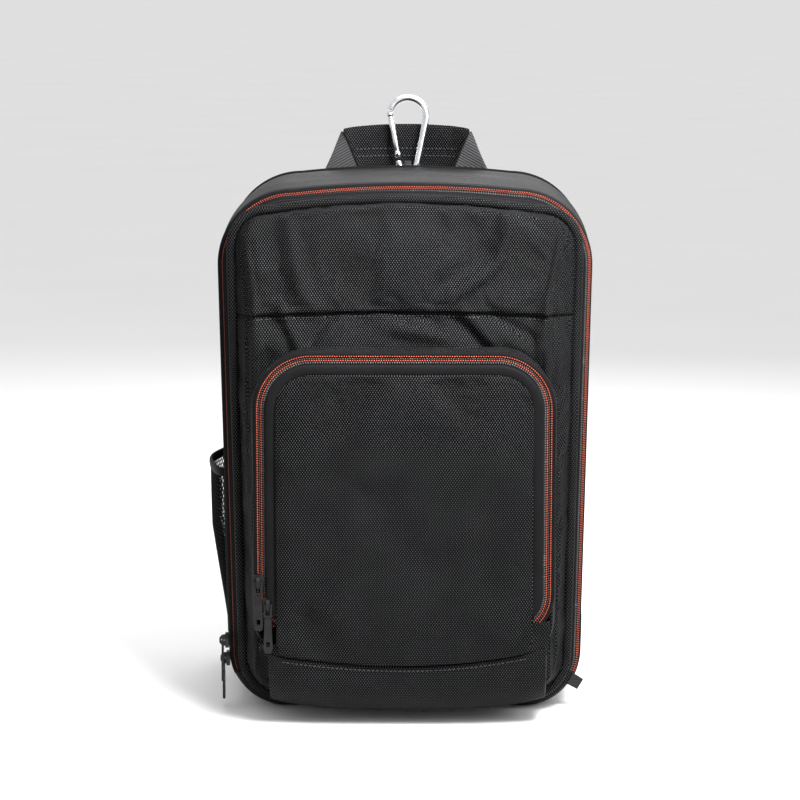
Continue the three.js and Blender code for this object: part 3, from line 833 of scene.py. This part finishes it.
def closed_slab(name, outline, profile, centre=(0.0, 0.0)):
    """A closed form: rings of (inset, depth) from one flat side to the other, with both ends filled."""
    rings = [outline.at(inset, depth) + np.array([centre[0], 0, centre[1]]) for inset, depth in profile]
    count = len(outline.points)
    points = np.concatenate(rings)
    faces = []
    for i in range(len(rings) - 1):
        a, b = i * count, (i + 1) * count
        faces += [(a + j, a + (j + 1) % count, b + (j + 1) % count, b + j) for j in range(count)]
    faces.append(tuple(reversed(range(count))))
    faces.append(tuple(range(len(points) - count, len(points))))
    return make_mesh(name, points, faces)


# ---- back panel, liner and door lining ----------------------------------------------


def back_and_lining():
    back = [(2.0, 72.3), (0.2, 72.6), (-0.4, 73.6), (0.0, 75.0), (1.2, 75.9), (3.4, 76.1), (5.0, 75.6),
            (8.0, 75.6)]
    dress(closed_slab("back_panel_fabric", BAG, back), "root", "ballistic", "back_panel")
    binding = [(-0.6, 71.6), (-1.6, 73.2), (-1.2, 75.6), (0.6, 77.0), (2.8, 76.8), (3.6, 75.4), (2.0, 72.6)]
    dress(profile_ring("back_edge_binding", BAG, binding), "root", "tape")
    stitches("back_edge_stitches", BAG.at(6.0, 75.8), tilted_normals(BAG, 90) * -1, "root", 3.2,
             (1.15, 0.3, 0.22), closed=True)

    front = SPLIT_Y + 7.2
    lining = [(2.3, front + 2.0), (2.5, front + 0.6), (3.6, front - 0.2), (8.6, front - 0.2),
              (9.9, front + 0.8), (10.3, front + 3), (10.3, 10.0), (10.3, 56.0), (11.5, 60.5), (14.0, 61.8),
              (10.0, 61.9), (2.4, 61.9)]
    dress(profile_ring("side_lining", BAG, lining), "root", "lining",
          "top_foam", "bottom_foam", "left_foam", "right_foam")
    rim = [(1.6, front + 1.2), (1.8, front - 0.8), (4.4, front - 1.3), (5.2, front), (4.4, front + 1.2)]
    dress(profile_ring("lining_rim_binding", BAG, rim), "root", "tape")
    rest = [(6.0, 70.0), (5.0, 68.0), (5.0, 64.0), (6.4, 62.6), (10.0, 62.0), (18.0, 61.6)]
    dress(closed_slab("back_lining", BAG, list(reversed(rest))), "root", "lining", "back_foam")

    door = [(12.0, SPLIT_Y - 6.6), (9.0, SPLIT_Y - 6.0), (8.6, SPLIT_Y - 2.0), (9.6, SPLIT_Y - 0.6),
            (12.0, SPLIT_Y), (20.0, SPLIT_Y - 0.1), (24.0, SPLIT_Y - 0.6)]
    dress(closed_slab("door_lining", BAG, door), "main_door", "lining", "door_foam")
    rim = [(4.6, SPLIT_Y - 3.6), (4.8, SPLIT_Y - 2.0), (7.0, SPLIT_Y - 1.0), (9.6, SPLIT_Y - 0.9),
           (10.4, SPLIT_Y - 3.0), (8.0, SPLIT_Y - 4.6)]
    dress(profile_ring("door_rim_binding", BAG, rim), "main_door", "tape")
    board = [(14.0, DOOR_LOW[1]), (11.6, DOOR_LOW[1] + 0.3), (11.3, DOOR_LOW[1] + 2.0), (13.0, DOOR_HIGH[1])]
    dress(closed_slab("door_board", DOOR, board), "main_door", "ballistic", "door_panel")
    x = np.linspace(-104, 104, 60)
    quilted = (("back", "root", 61.4, FORWARD), ("door", "main_door", SPLIT_Y - 0.4, BACKWARD))
    for number, height in enumerate((95.0, 178.0, 261.0)):
        for name, body, depth, facing in quilted:
            stitches(f"{name}_lining_stitches_{number}", line_of(x, depth, height), facing, body, 3.4,
                     (1.2, 0.4, 0.3))


# ---- front pocket -------------------------------------------------------------------

FACE_HALF = FACE_HIGH[0] + 1.0
FACE_TOP = FACE_HIGH[2] + 1.2
FACE_Y = FACE_LOW[1]
FACE_CORNER = 23.0
BAND_LEFT, BAND_RIGHT = -88.5, 93.0
RAIL = Outline(POCKET_HIGH[0], POCKET_HIGH[0], 60.0, POCKET_HIGH[2], 30.0, 38.0)
RAIL_END_Z = 66.0
RAIL_Y = box_mm("pocket_zip_body_half")[0][1]


def face_bottom(x):
    """The curved seam between the pocket's face and its base."""
    return np.where(x < 0, 43.0 + 6.0 * (x / 80.0) ** 2, 43.0 + 8.5 * (x / 80.0) ** 2)


def face_top(x):
    over = np.clip(np.abs(x) - (FACE_HALF - FACE_CORNER), 0, FACE_CORNER)
    return FACE_TOP - FACE_CORNER + np.sqrt(FACE_CORNER ** 2 - over ** 2)


def face_depth(x, z):
    """The face stands out most at its middle and settles towards its seams."""
    across = np.clip(1 - (x / (FACE_HALF + 4)) ** 2, 0, 1)
    up = np.clip((face_top(x) + 3 - z) / 60.0, 0, 1) ** 0.6
    down = np.clip((z - face_bottom(x) + 4) / 40.0, 0, 1) ** 0.7
    swell = 3.0 * across ** 0.5 * up * down
    slow = 0.5 * np.sin(x * 0.047 + 1.1) * np.sin(z * 0.041) + 0.35 * np.sin(x * 0.09 - z * 0.05)
    sag = 0.9 * hump(60, 14, x + 0.4 * (z - 70)) * hump(66, 22, z) - 0.7 * hump(-62, 16, x) * hump(74, 26, z)
    return FACE_Y + 1.2 - swell - slow * across - sag


def pocket():
    front, back = POCKET_LOW[1] + 0.5, POCKET_HIGH[1] + 5.0
    outer = [(0.6 - 1.3 * math.sin(math.pi * t) ** 0.7 if 0 < t < 1 else 0.8, lerp(front, back, t))
             for t in np.linspace(0, 1, 13)]
    wall = outer + [(inset + 1.8, depth) for inset, depth in reversed(outer)]

    def slack(ring, inset, depth):
        ring = ring.copy()
        wave = 0.5 * np.sin(ring[:, 2] * 0.06 + depth * 0.2) + 0.3 * np.sin(ring[:, 0] * 0.11)
        ring[:, [0, 2]] += POCKET.normals * wave[:, None]
        return ring

    dress(profile_ring("pocket_gusset_fabric", POCKET, wall, ripple=slack), "main_door", "ballistic",
          "pocket_gusset")

    y = RAIL_Y
    run = part_of(RAIL, lambda x, z: z > RAIL_END_Z)
    body_tape = [(0.8, y + 3.4), (0.1, y + 2.4), (0.2, y + 1.0), (1.2, y + 0.2), (4.1, y), (4.1, y + 2.6)]
    dress(profile_ring("pocket_zip_tape_body", RAIL, body_tape, run, False), "main_door", "tape",
          "pocket_zip_body_half")
    face_tape = [(4.3, y + 2.6), (4.3, y), (6.6, y - 0.1), (8.8, y - 0.2), (8.8, y + 2.6)]
    dress(profile_ring("pocket_zip_tape_face", RAIL, face_tape, run, False), "pocket_door", "tape",
          "pocket_zip_face_half")
    normals = tilted_normals(RAIL, 80, run)
    rows = (
        ("pocket_zip_outer_row", "main_door", "orange_thread", 3.0, y - 0.1, (0.45, 0.45, 0.4), 38),
        # The middle row of pale beads is painted glint between the orange stitch rows.
        ("pocket_zip_middle_row", "pocket_door", "painted_glint_beads", 4.4, y + 0.1, (0.3, 0.2, 0.25), 0),
        ("pocket_zip_inner_row", "pocket_door", "orange_thread", 5.7, y - 0.2, (0.45, 0.45, 0.4), -38),
        ("pocket_zip_teeth", "pocket_door", "teeth", 7.2, y - 0.4, (0.5, 0.95, 0.85), 0),
    )
    for name, body, material, inset, depth, size, lean in rows:
        path = RAIL.at(inset, depth)[run]
        dress(row_of_beads(name, path, normals, BEAD_PITCH, size, lean), body, material)

    flap_run = part_of(RAIL, lambda x, z: z > RAIL_END_Z + 4)
    flap = [(8.2, y + 0.4), (8.0, y - 1.6), (8.5, y - 2.9), (9.8, y - 3.5), (12.0, y - 3.7), (15.0, y - 3.5),
            (16.4, y - 2.6), (16.4, y + 0.4)]
    flap_fabric = profile_ring("pocket_zip_flap_fabric", RAIL, flap, flap_run, False)
    dress(flap_fabric, "pocket_door", "plain", "pocket_zip_flap")

    def place(u, v):
        x = lerp(-FACE_HALF, FACE_HALF, u)
        corner = 7.0 * np.clip((np.abs(x) - (FACE_HALF - 7)) / 7.0, 0, 1) ** 2
        z = lerp(face_bottom(x) + 0.6 + corner, face_top(x), v)
        return x, face_depth(x, z), z

    face = grid("pocket_face_fabric", 90, 110, place)
    x, _, z = vertex_array(face.data).T
    edge = np.minimum.reduce([FACE_HALF - np.abs(x), z - face_bottom(x), face_top(x) - z])
    settle(face, (edge < 2.5).astype(float), 1.2, 12, 1.6)
    solidify(face, 1.2, 1.0)
    dress(face, "pocket_door", "ballistic", "pocket_face")

    seam_x = np.linspace(-FACE_HALF + 3, FACE_HALF - 3, 120)
    seam = line_of(seam_x, FACE_Y - 0.2, face_bottom(seam_x) - 3.2)
    stitches("base_band_stitches", seam, FORWARD, "main_door", 2.9, (1.0, 0.32, 0.3))

    def base(u, v):
        """Goes back along the left side, across the front and back along the right side."""
        side = 0.09
        t = np.clip((u - side) / (1 - 2 * side), 0, 1)
        x = lerp(BAND_LEFT, BAND_RIGHT, t)
        into = np.clip(np.maximum(side - u, u - 1 + side) / side, 0, 1)
        x = x + np.where(u < 0.5, -1, 1) * (2.0 * into)
        z = lerp(face_bottom(x) - 0.3, 9.6 + 8.0 * np.abs(x / 92.0) ** 3, v)
        lean = 1.0 * v + 13.0 * v ** 3
        bulge = 1.7 * np.sin(math.pi * np.clip(v, 0, 1)) ** 0.6 * np.clip(1 - (x / 100.0) ** 4, 0, 1)
        dents = 0.7 * hump(-70, 8, x) * np.sin(v * 3.1) + 0.8 * hump(76, 7, x) * np.sin(v * 3.1)
        y = FACE_Y + 1.5 + lean - bulge + dents + 26.0 * into ** 1.2
        y = y + 1.6 * np.clip((np.abs(x) - 80) / 12.0, 0, 1) ** 2
        return x, np.minimum(y, -100.0), z

    band = grid("base_band_fabric", 130, 30, base)
    solidify(band, 1.2, 1.0)
    dress(band, "main_door", "ballistic", "pocket_base_band")

    for side, sign in (("left", -1.0), ("right", 1.0)):
        def tuck(u, v, sign=sign):
            x = sign * lerp(79.0, 95.5, u)
            z = lerp(47.0, RAIL_END_Z + (6.0 if sign > 0 else -9.0), v) + 2.5 * u * (1 - v)
            fold = 1.5 * np.sin(u * 4.4 + v * 3.0) * np.sin(math.pi * v)
            y = RAIL_Y - 1.2 + 3.6 * u ** 2 - 1.4 * np.sin(math.pi * u) * v - fold
            return x, y, z

        piece = grid(f"zip_end_tuck_{side}", 22, 22, tuck)
        solidify(piece, 1.2, -1.0 if sign > 0 else 1.0)
        nodes = ("pocket_zip_garage",) if side == "right" else ()
        dress(piece, "pocket_door", "ballistic", *nodes)


# ---- net pocket ---------------------------------------------------------------------

NET_LOW, NET_HIGH = box_mm("side_mesh_pocket")


def bag_side(z):
    up = (z - CORNER_BOTTOM) / (BAG_TOP - CORNER_TOP - CORNER_BOTTOM)
    return lerp(HALF_BOTTOM, HALF_TOP, np.clip(up, 0, 1))


def net_surface(u, v, lift=0.0):
    """u runs from the back to the front, v from the bottom to the top."""
    z = lerp(NET_LOW[2], NET_HIGH[2], v)
    across = np.sin(math.pi * np.clip(u, 0, 1)) ** 0.6
    along = np.minimum(1, np.clip(v, 0, 1) / 0.62) ** 0.7
    slack = 0.9 * np.sin(u * 9.0 + v * 4.0) * np.sin(math.pi * u) * v
    x = -bag_side(z) - 1.9 - lift - 11.8 * across * along - slack
    return x, lerp(NET_HIGH[1], NET_LOW[1], u), z


def net_pocket():
    pitch_y, pitch_z = 3.0, 2.7
    columns = int((NET_HIGH[1] - NET_LOW[1]) / pitch_y)
    rows = int((NET_HIGH[2] - NET_LOW[2]) / pitch_z)
    points, faces, known = [], [], {}

    def corner(a, b):
        key = (round(a * 6), round(b * 6))
        if key not in known:
            known[key] = len(points)
            points.append((a / columns, b / rows))
        return known[key]

    for j in range(rows):
        for i in range(columns - (j % 2)):
            a, b = i + 0.5 + 0.5 * (j % 2), j + 0.5
            ring = [(a, b + 2 / 3), (a - 0.5, b + 1 / 3), (a - 0.5, b - 1 / 3),
                    (a, b - 2 / 3), (a + 0.5, b - 1 / 3), (a + 0.5, b + 1 / 3)]
            faces.append([corner(*place) for place in ring])
    flat = np.array(points)
    place = np.stack(net_surface(flat[:, 0], flat[:, 1]), -1)
    net = make_mesh("side_net", place, faces)
    wire = net.modifiers.new("strands", "WIREFRAME")
    wire.thickness = 0.85 * MM
    wire.offset = 0.0
    wire.use_even_offset = False
    dress(net, "root", "net", "side_mesh_pocket")

    u = np.linspace(0, 1, 50)
    top = np.stack(net_surface(u, np.ones(50)), -1)
    section = ((0.9, -0.8), (1.3, 1.5), (1.1, 4.0), (0.2, 5.4), (-0.9, 4.6), (-1.0, 1.5), (-0.6, -0.8))
    rings = [top + np.array([-lift, 0, rise]) for lift, rise in section]
    dress(solid_strip("net_top_binding", rings), "root", "plain", "mesh_pocket_binding")
    v = np.linspace(0, 1, 60)
    left, right = (np.stack(net_surface(np.full(60, edge), v), -1) for edge in (0.0, 1.0))
    base = np.stack(net_surface(u, np.zeros(50)), -1)
    seam = np.concatenate([left[::-1], base[1:-1], right])
    dress(tube("net_seam_binding", seam, 1.9, (-1.0, 0.0, 0.0), flatten=0.55), "root", "tape")


# ---- padded back and shoulder straps ------------------------------------------------


def swell(piece, pressure, frames, cap, voxel, rest_y):
    """The padded recipe: remeshes a closed form and lets it swell, resting on the panel behind it."""
    remesh = piece.modifiers.new("remesh", "REMESH")
    remesh.mode = "VOXEL"
    remesh.voxel_size = voxel * MM
    apply_modifiers(piece)
    points = vertex_array(piece.data)
    settle(piece, np.where(points[:, 1] < rest_y, 1.0, 0.0), pressure, frames, cap, 0.0)
    piece.data.shade_smooth()
    return piece


def apply_modifiers(piece):
    evaluated = piece.evaluated_get(bpy.context.evaluated_depsgraph_get())
    mesh = bpy.data.meshes.new_from_object(evaluated)
    piece.modifiers.clear()
    old = piece.data
    piece.data = mesh
    bpy.data.meshes.remove(old)


def back_pads():
    for node, grooves in (("back_pad_left", 3), ("back_pad_right", 3), ("lumbar_pad", 1)):
        low, high = box_mm(node)
        half = (high[0] - low[0]) / 2
        centre = ((high[0] + low[0]) / 2, 0.0)
        outline = Outline(half, half, low[2], high[2], 16.0, 16.0)
        y0, y1 = low[1], high[1]
        profile = [(3.0, y0), (1.6, y0 + 0.4), (1.2, y0 + 2.0), (2.4, y0 + 4.6), (5.0, y1 - 1.6),
                   (9.0, y1 - 0.8)]
        piece = closed_slab(f"{node}_net", outline, profile, centre)
        swell(piece, 4.0, 16, 4.0, 4.0, y0 + 1.2)
        points = vertex_array(piece.data)
        rows = np.linspace(low[2], high[2], grooves + 2)[1:-1]
        dent = sum(hump(row, 3.4, points[:, 2]) for row in rows)
        raised = points[:, 1] > y0 + 2.2
        points[raised, 1] = np.maximum(points[raised, 1] - 2.6 * dent[raised], y0 + 2.2)
        set_vertices(piece.data, points)
        subdivide(piece)
        dress(piece, "root", "spacer", node)
        ring = outline.at(0.8, y0 + 0.9) + np.array([centre[0], 0, 0])
        normals = tilted_normals(outline, 45) * np.array([1, -1, 1])
        dress(tube(f"{node}_piping", ring, 1.5, normals, closed=True), "root", "tape")
        for number, row in enumerate(rows):
            x = np.linspace(centre[0] - half + 4, centre[0] + half - 4, 40)
            stitches(f"{node}_stitches_{number}", line_of(x, y1 - 2.4, row), BACKWARD, "root", 3.2,
                     (1.1, 0.35, 0.3))


def along_strap(start, end, width, count, thick, y, crown=0.0, taper=0.0):
    """Cross-sections of a flat strap between two places in the X-Z plane."""
    start, end = np.array(start, float), np.array(end, float)
    ahead = (end - start) / np.linalg.norm(end - start)
    aside = np.array([ahead[1], -ahead[0]])
    half = width / 2
    section = [(-half, 0.25), (-half + 0.6, 0.02), (0.0, 0.0), (half - 0.6, 0.02), (half, 0.25),
               (half, 0.75), (half - 1.6, 0.97), (half * 0.5, 1.0 + crown), (0.0, 1.0 + crown * 1.3),
               (-half * 0.5, 1.0 + crown), (-half + 1.6, 0.97), (-half, 0.75)]
    rings = []
    for across, lift in section:
        t = np.linspace(0, 1, count)
        narrow = 1 - taper * (np.maximum(1 - t / 0.06, 0) ** 2 + np.maximum(1 - (1 - t) / 0.06, 0) ** 2)
        flat = start[None] + (end - start)[None] * t[:, None] + aside[None] * (across * narrow)[:, None]
        depth = y + thick * lift + 0.5 * np.sin(t * 9.0) * (thick > 4)
        rings.append(np.stack([flat[:, 0], depth, flat[:, 1]], -1))
    return rings


def straps():
    for side, sign in (("left", -1.0), ("right", 1.0)):
        low, high = box_mm(f"shoulder_strap_{side}")
        lower, upper = (sign * 62.0, low[2] + 2), (sign * 36.0, high[2] - 2)
        rings = along_strap(lower, upper, 48.0, 60, 6.4, low[1] + 0.9, 0.25, 0.25)
        strap = solid_strip(f"shoulder_strap_{side}_pad", rings)
        bevel(strap, 1.2, 2, 40)
        dress(strap, "root", "ballistic", f"shoulder_strap_{side}")
        for edge, across in (("outer", 24.0), ("inner", -24.0)):
            start, end = np.array(lower), np.array(upper)
            ahead = (end - start) / np.linalg.norm(end - start)
            aside = np.array([ahead[1], -ahead[0]]) * across
            t = np.linspace(0.015, 0.985, 60)
            flat = start + (end - start) * t[:, None] + aside
            path = np.stack([flat[:, 0], low[1] + 4.0 + 0.5 * np.sin(t * 9.0), flat[:, 1]], -1)
            out = (aside[0], 0.0, aside[1])
            dress(tube(f"shoulder_strap_{side}_{edge}_binding", path, 3.4, out, flatten=0.45), "root", "tape")
        lane = along_strap((sign * 59.5, low[2] + 14), (sign * 38.0, high[2] - 30), 24.0, 50, 1.5,
                           high[1] - 0.6)
        dress(solid_strip(f"shoulder_strap_{side}_webbing", lane), "root", "webbing")
        low, high = box_mm(f"strap_webbing_{side}")
        half = 10.0
        lane = along_strap((sign * (high[0] - half if sign > 0 else -low[0] - half), low[2] + 2),
                           (sign * (low[0] + half if sign > 0 else -high[0] + half), high[2] - 2),
                           20.0, 40, 1.8, low[1])
        dress(solid_strip(f"strap_webbing_{side}_weave", lane), "root", "webbing", f"strap_webbing_{side}")
        low, high = box_mm(f"strap_corner_tab_{side}")
        inner, outer = (low[0], high[0]) if sign > 0 else (high[0], low[0])
        lane = along_strap((outer - sign * 15.5, low[2] + 6), (inner + sign * 15.5, high[2] - 6), 29.0, 24,
                           3.8, low[1] + 0.2, 0.15)
        tab = solid_strip(f"strap_corner_tab_{side}_fabric", lane)
        bevel(tab, 0.9, 2, 40)
        dress(tab, "root", "ballistic", f"strap_corner_tab_{side}")


# ---- haul handle and carabiner ------------------------------------------------------

GRIP_LOW, GRIP_HIGH = box_mm("handle_grip")
GRIP_HALF = GRIP_HIGH[0]
GRIP_TUCK = 8.0
PATCH_LOW, PATCH_HIGH = box_mm("handle_anchor_patch")


def handle():
    patch = [(2.0, PATCH_LOW[1]), (0.3, PATCH_LOW[1] + 0.3), (0.0, PATCH_LOW[1] + 1.2),
             (0.8, PATCH_HIGH[1] - 0.2), (3.0, PATCH_HIGH[1])]
    outline = Outline(PATCH_HIGH[0], PATCH_HIGH[0], PATCH_LOW[2], PATCH_HIGH[2], 5.0, 3.0)
    dress(closed_slab("handle_anchor_fabric", outline, patch), "root", "ballistic", "handle_anchor_patch")
    stitches("handle_anchor_stitches", outline.at(2.6, PATCH_HIGH[1] + 0.1), BACKWARD, "root", 2.6,
             (0.9, 0.3, 0.25), closed=True)

    def plan(u):
        """Depth of the grip, which bows back between its two ends."""
        return GRIP_LOW[1] + (GRIP_HIGH[1] - GRIP_LOW[1] - 3.4) * np.sin(math.pi * np.clip(u, 0, 1)) ** 0.8

    def level(rise):
        return GRIP_LOW[2] - GRIP_TUCK + (GRIP_HIGH[2] - GRIP_LOW[2] + GRIP_TUCK - 2.0) * rise

    def gather(rise):
        """How much narrower the grip is below its top edge."""
        return 1 - 10.5 * (1 - rise) ** 1.1 / GRIP_HALF

    section = [(0.0, 0.02), (-0.25, 0.0), (-0.5, 0.02), (-1.0, 0.06), (-1.15, 0.25), (-0.6, 0.42),
               (-0.9, 0.55), (-1.6, 0.75), (-1.4, 0.92), (-0.4, 1.0), (0.8, 0.98), (1.4, 0.9), (1.6, 0.7),
               (1.2, 0.5), (1.5, 0.3), (1.0, 0.06)]
    u = np.linspace(0, 1, 70)
    x = lerp(-GRIP_HALF, GRIP_HALF, u)
    rings = []
    for depth, rise in section:
        crest = 1.6 * np.sin(math.pi * u) ** 0.5 - 1.8 * (1 - np.sin(math.pi * np.clip(u, 0, 1)) ** 0.3)
        z = level(rise) + 1.2 * crest * rise
        dents = 1.5 * hump(-22 + 9 * (rise - 0.8), 3.4, x) - 1.0 * hump(-30, 5, x) + 1.2 * hump(34, 3.0, x)
        dents = dents + 0.9 * hump(8, 6, x) - 0.8 * hump(20, 7, x)
        front = dents * smoothstep(0.35, 0.75, rise) * (1 if depth < 0 else 0.5)
        rings.append(np.stack([x * gather(rise), plan(u) + 1.7 + depth + front, z], -1))
    dress(subdivide(solid_strip("handle_grip_fabric", rings)), "handle", "ballistic", "handle_grip")
    for number, rise in enumerate((0.34, 0.5)):
        line = line_of(x[4:-4] * gather(rise), plan(u[4:-4]) + 0.35 + 0.25 * number, level(rise))
        stitches(f"handle_stitches_{number}", line, FORWARD, "handle", 3.0, (1.05, 0.4, 0.35))

    for side, sign in (("left", -1.0), ("right", 1.0)):
        low, high = box_mm(f"handle_webbing_{side}")

        def leg(u, v, sign=sign, low=low, high=high):
            z = lerp(low[2] + 0.2, GRIP_HIGH[2] - 5.0, v)
            outer = lerp(58.5, GRIP_HALF + 0.4, v ** 0.9)
            inner = lerp(33.5, GRIP_HALF - 1.5, v ** 1.15)
            x = sign * lerp(inner, outer, u)
            y = low[1] + 0.6 + 2.4 * (1 - u) * (1 - v) + 1.4 * v + 0.5 * np.sin(v * 5 + u * 3)
            return x, y, z

        piece = grid(f"handle_webbing_{side}_weave", 14, 24, leg)
        solidify(piece, 1.7, 0.0)
        dress(piece, "handle", "handle_webbing", f"handle_webbing_{side}")
        v = np.linspace(0.0, 1.0, 30)
        edge = np.stack(leg(np.zeros(30), v), -1)
        edge[:, 1] -= 1.0
        dress(tube(f"handle_fold_edge_{side}", edge, 0.8, FORWARD), "handle", "plain")


CARABINER_LOW = box_mm("carabiner_body")[0]
WIRE = 2.4
LOW_RADIUS = 6.6
HIGH_RADIUS = 13.1
HIGH_CENTRE = 38.3
LEAN = math.radians(7.5)
CARABINER_FOOT = np.array([1.0, 83.9, CARABINER_LOW[2] + WIRE])


def leaned(flat):
    """Carries places in the carabiner's own plane into the frame."""
    flat = np.asarray(flat, float)
    lift = flat[:, 1]
    return np.stack([flat[:, 0], lift * math.sin(LEAN), lift * math.cos(LEAN)], -1) + CARABINER_FOOT


def carabiner():
    def arc(radius, centre, start, end, count):
        angles = np.radians(np.linspace(start, end, count))
        return np.stack([radius * np.cos(angles), centre + radius * np.sin(angles)], -1)

    route = np.concatenate([arc(LOW_RADIUS, LOW_RADIUS, 180, 346, 40),
                            arc(HIGH_RADIUS, HIGH_CENTRE, -10, 160, 60)])
    lengths = path_lengths(route)
    route = sample(route, lengths, np.linspace(0, lengths[-1], 120))
    across = (0.0, math.cos(LEAN), -math.sin(LEAN))
    body = tube("carabiner_hook", leaned(route), WIRE, across, around=20)
    dress(bevel(body, 0.5, 3, 50), "carabiner", "aluminium", "carabiner_body")

    upper, lower = np.array([-12.9, HIGH_CENTRE + 2.4]), np.array([-7.0, LOW_RADIUS + 2.9])
    t = np.array([-0.02, 0.0, 0.03, 0.07, 0.08, 0.095, 0.11, 0.5, 0.86, 0.88, 0.9, 0.97, 1.0, 1.02])
    radii = np.array([1.5, 2.0, 2.35, 2.35, 1.75, 1.75, 2.15, 2.15, 2.15, 1.9, 2.5, 2.5, 2.2, 1.6])
    path = leaned(upper + (lower - upper) * t[:, None])
    gate = tube("carabiner_gate_bar", path, radii, across, around=20)
    dress(gate, "carabiner_gate", "aluminium", "carabiner_gate")
    pin = leaned(np.tile(upper + (lower - upper) * 0.94, (6, 1)))
    pin[:, 1] += np.linspace(-3.1, 3.1, 6)
    rivet = tube("carabiner_rivet", pin, np.array([0.7, 1.1, 1.1, 1.1, 1.1, 0.7]), (0.0, 0.0, 1.0), around=14)
    dress(rivet, "carabiner_gate", "metal")

    low, high = box_mm("carabiner_loop")
    middle = (low + high) / 2
    turn = np.linspace(0, 2 * math.pi, 48, endpoint=False)
    rings = []
    for across_x, radius in ((-2.5, 0.0), (-2.3, 0.8), (2.3, 0.8), (2.5, 0.0), (2.3, -0.8), (-2.3, -0.8)):
        ring_y = middle[1] + (4.2 + radius) * np.cos(turn)
        ring_z = middle[2] + (7.6 + radius) * np.sin(turn)
        rings.append(np.stack([np.full(48, middle[0] + across_x), ring_y, ring_z], -1))
    dress(loft("carabiner_loop_webbing", rings, close_across=True), "root", "webbing", "carabiner_loop")


def end_tab():
    """A folded end of zip tape that sticks out of the lower right corner."""
    def place(u, v):
        angle = math.radians(-30.0)
        out = lerp(CORNER_BOTTOM - 5.0, CORNER_BOTTOM + 6.3, u)
        aside = lerp(-4.5, 4.5, v) * lerp(1.0, 0.9, u)
        x = HALF_BOTTOM - CORNER_BOTTOM + out * math.cos(angle) - aside * math.sin(angle)
        z = CORNER_BOTTOM + out * math.sin(angle) + aside * math.cos(angle)
        return x, SPLIT_Y - 0.9 + 0.5 * np.sin(u * 3.0), z

    piece = grid("main_zip_end_fold", 14, 10, place)
    solidify(piece, 1.8, 0.0)
    bevel(piece, 0.5, 2, 40)
    dress(piece, "root", "webbing", "main_zip_end_tab")


# ---- hardware that keeps its CAD shape ----------------------------------------------


def hardware():
    rounding = {"slider": 0.45, "pull_link": 0.25, "pull_tab": 0.4}
    for zip_name in ("main", "pocket"):
        for place in ("upper", "lower"):
            for part, width in rounding.items():
                give(f"{zip_name}_{part}_{place}", "metal", width)
    for side in ("left", "right"):
        give(f"strap_ladder_lock_{side}", "plastic", 0.6)
    give("back_stiffener_board", "board")


def give(name, material, width=0.0):
    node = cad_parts[name]
    if width:
        bevel(node, width, 3, 25)
    for slot in node.material_slots:
        slot.material = MATERIALS[material]


main_shell()
hinge_web = main_zip()
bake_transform(hinge_web)
front_panel()
back_and_lining()
pocket()
net_pocket()
back_pads()
straps()
handle()
carabiner()
end_tab()
hardware()

# ---- light and floor ----------------------------------------------------------------


def area_light(name, place, size, power, target=(0.0, 0.0, 180.0), spread=180.0):
    data = bpy.data.lights.new(name, "AREA")
    data.shape = "RECTANGLE"
    data.size, data.size_y = (value * MM for value in size)
    data.energy = power
    data.spread = math.radians(spread)
    light = bpy.data.objects.new(name, data)
    light.location = Vector(place) * MM
    aim = (Vector(target) - Vector(place)).normalized()
    light.rotation_mode = "QUATERNION"
    light.rotation_quaternion = aim.to_track_quat("-Z", "Y")
    bpy.context.scene.collection.objects.link(light)


FLOOR = 90000.0


def studio():
    area_light("key", (260, -430, 780), (360, 360), 4, (0, -80, 330), 75.0)
    area_light("fill", (700, -480, 560), (420, 420), 3, (40, -80, 230))
    area_light("top", (0, 60, 1150), (900, 700), 3, (0, 0, 350))
    area_light("back", (200, 1100, 900), (900, 700), 7)
    world = bpy.data.worlds.new("studio")
    world.use_nodes = True
    world.node_tree.nodes["Background"].inputs["Color"].default_value = (1.0, 1.0, 1.0, 1.0)
    world.node_tree.nodes["Background"].inputs["Strength"].default_value = 0.82
    bpy.context.scene.world = world
    bpy.context.scene.view_settings.view_transform = "Standard"
    corners = [(-FLOOR, -FLOOR, 0), (FLOOR, -FLOOR, 0), (FLOOR, FLOOR, 0), (-FLOOR, FLOOR, 0)]
    floor = make_mesh("floor", corners, [(0, 1, 2, 3)], False)
    graph = Graph("floor")
    _, _, point = graph.surface_plane()
    mottle = graph.noise(point, 3.0)
    colour = graph.ramp(mottle, (0.3, (0.88, 0.88, 0.88)), (0.7, (0.90, 0.90, 0.90)))
    floor.data.materials.append(graph.finish(colour, 0.7))


studio()
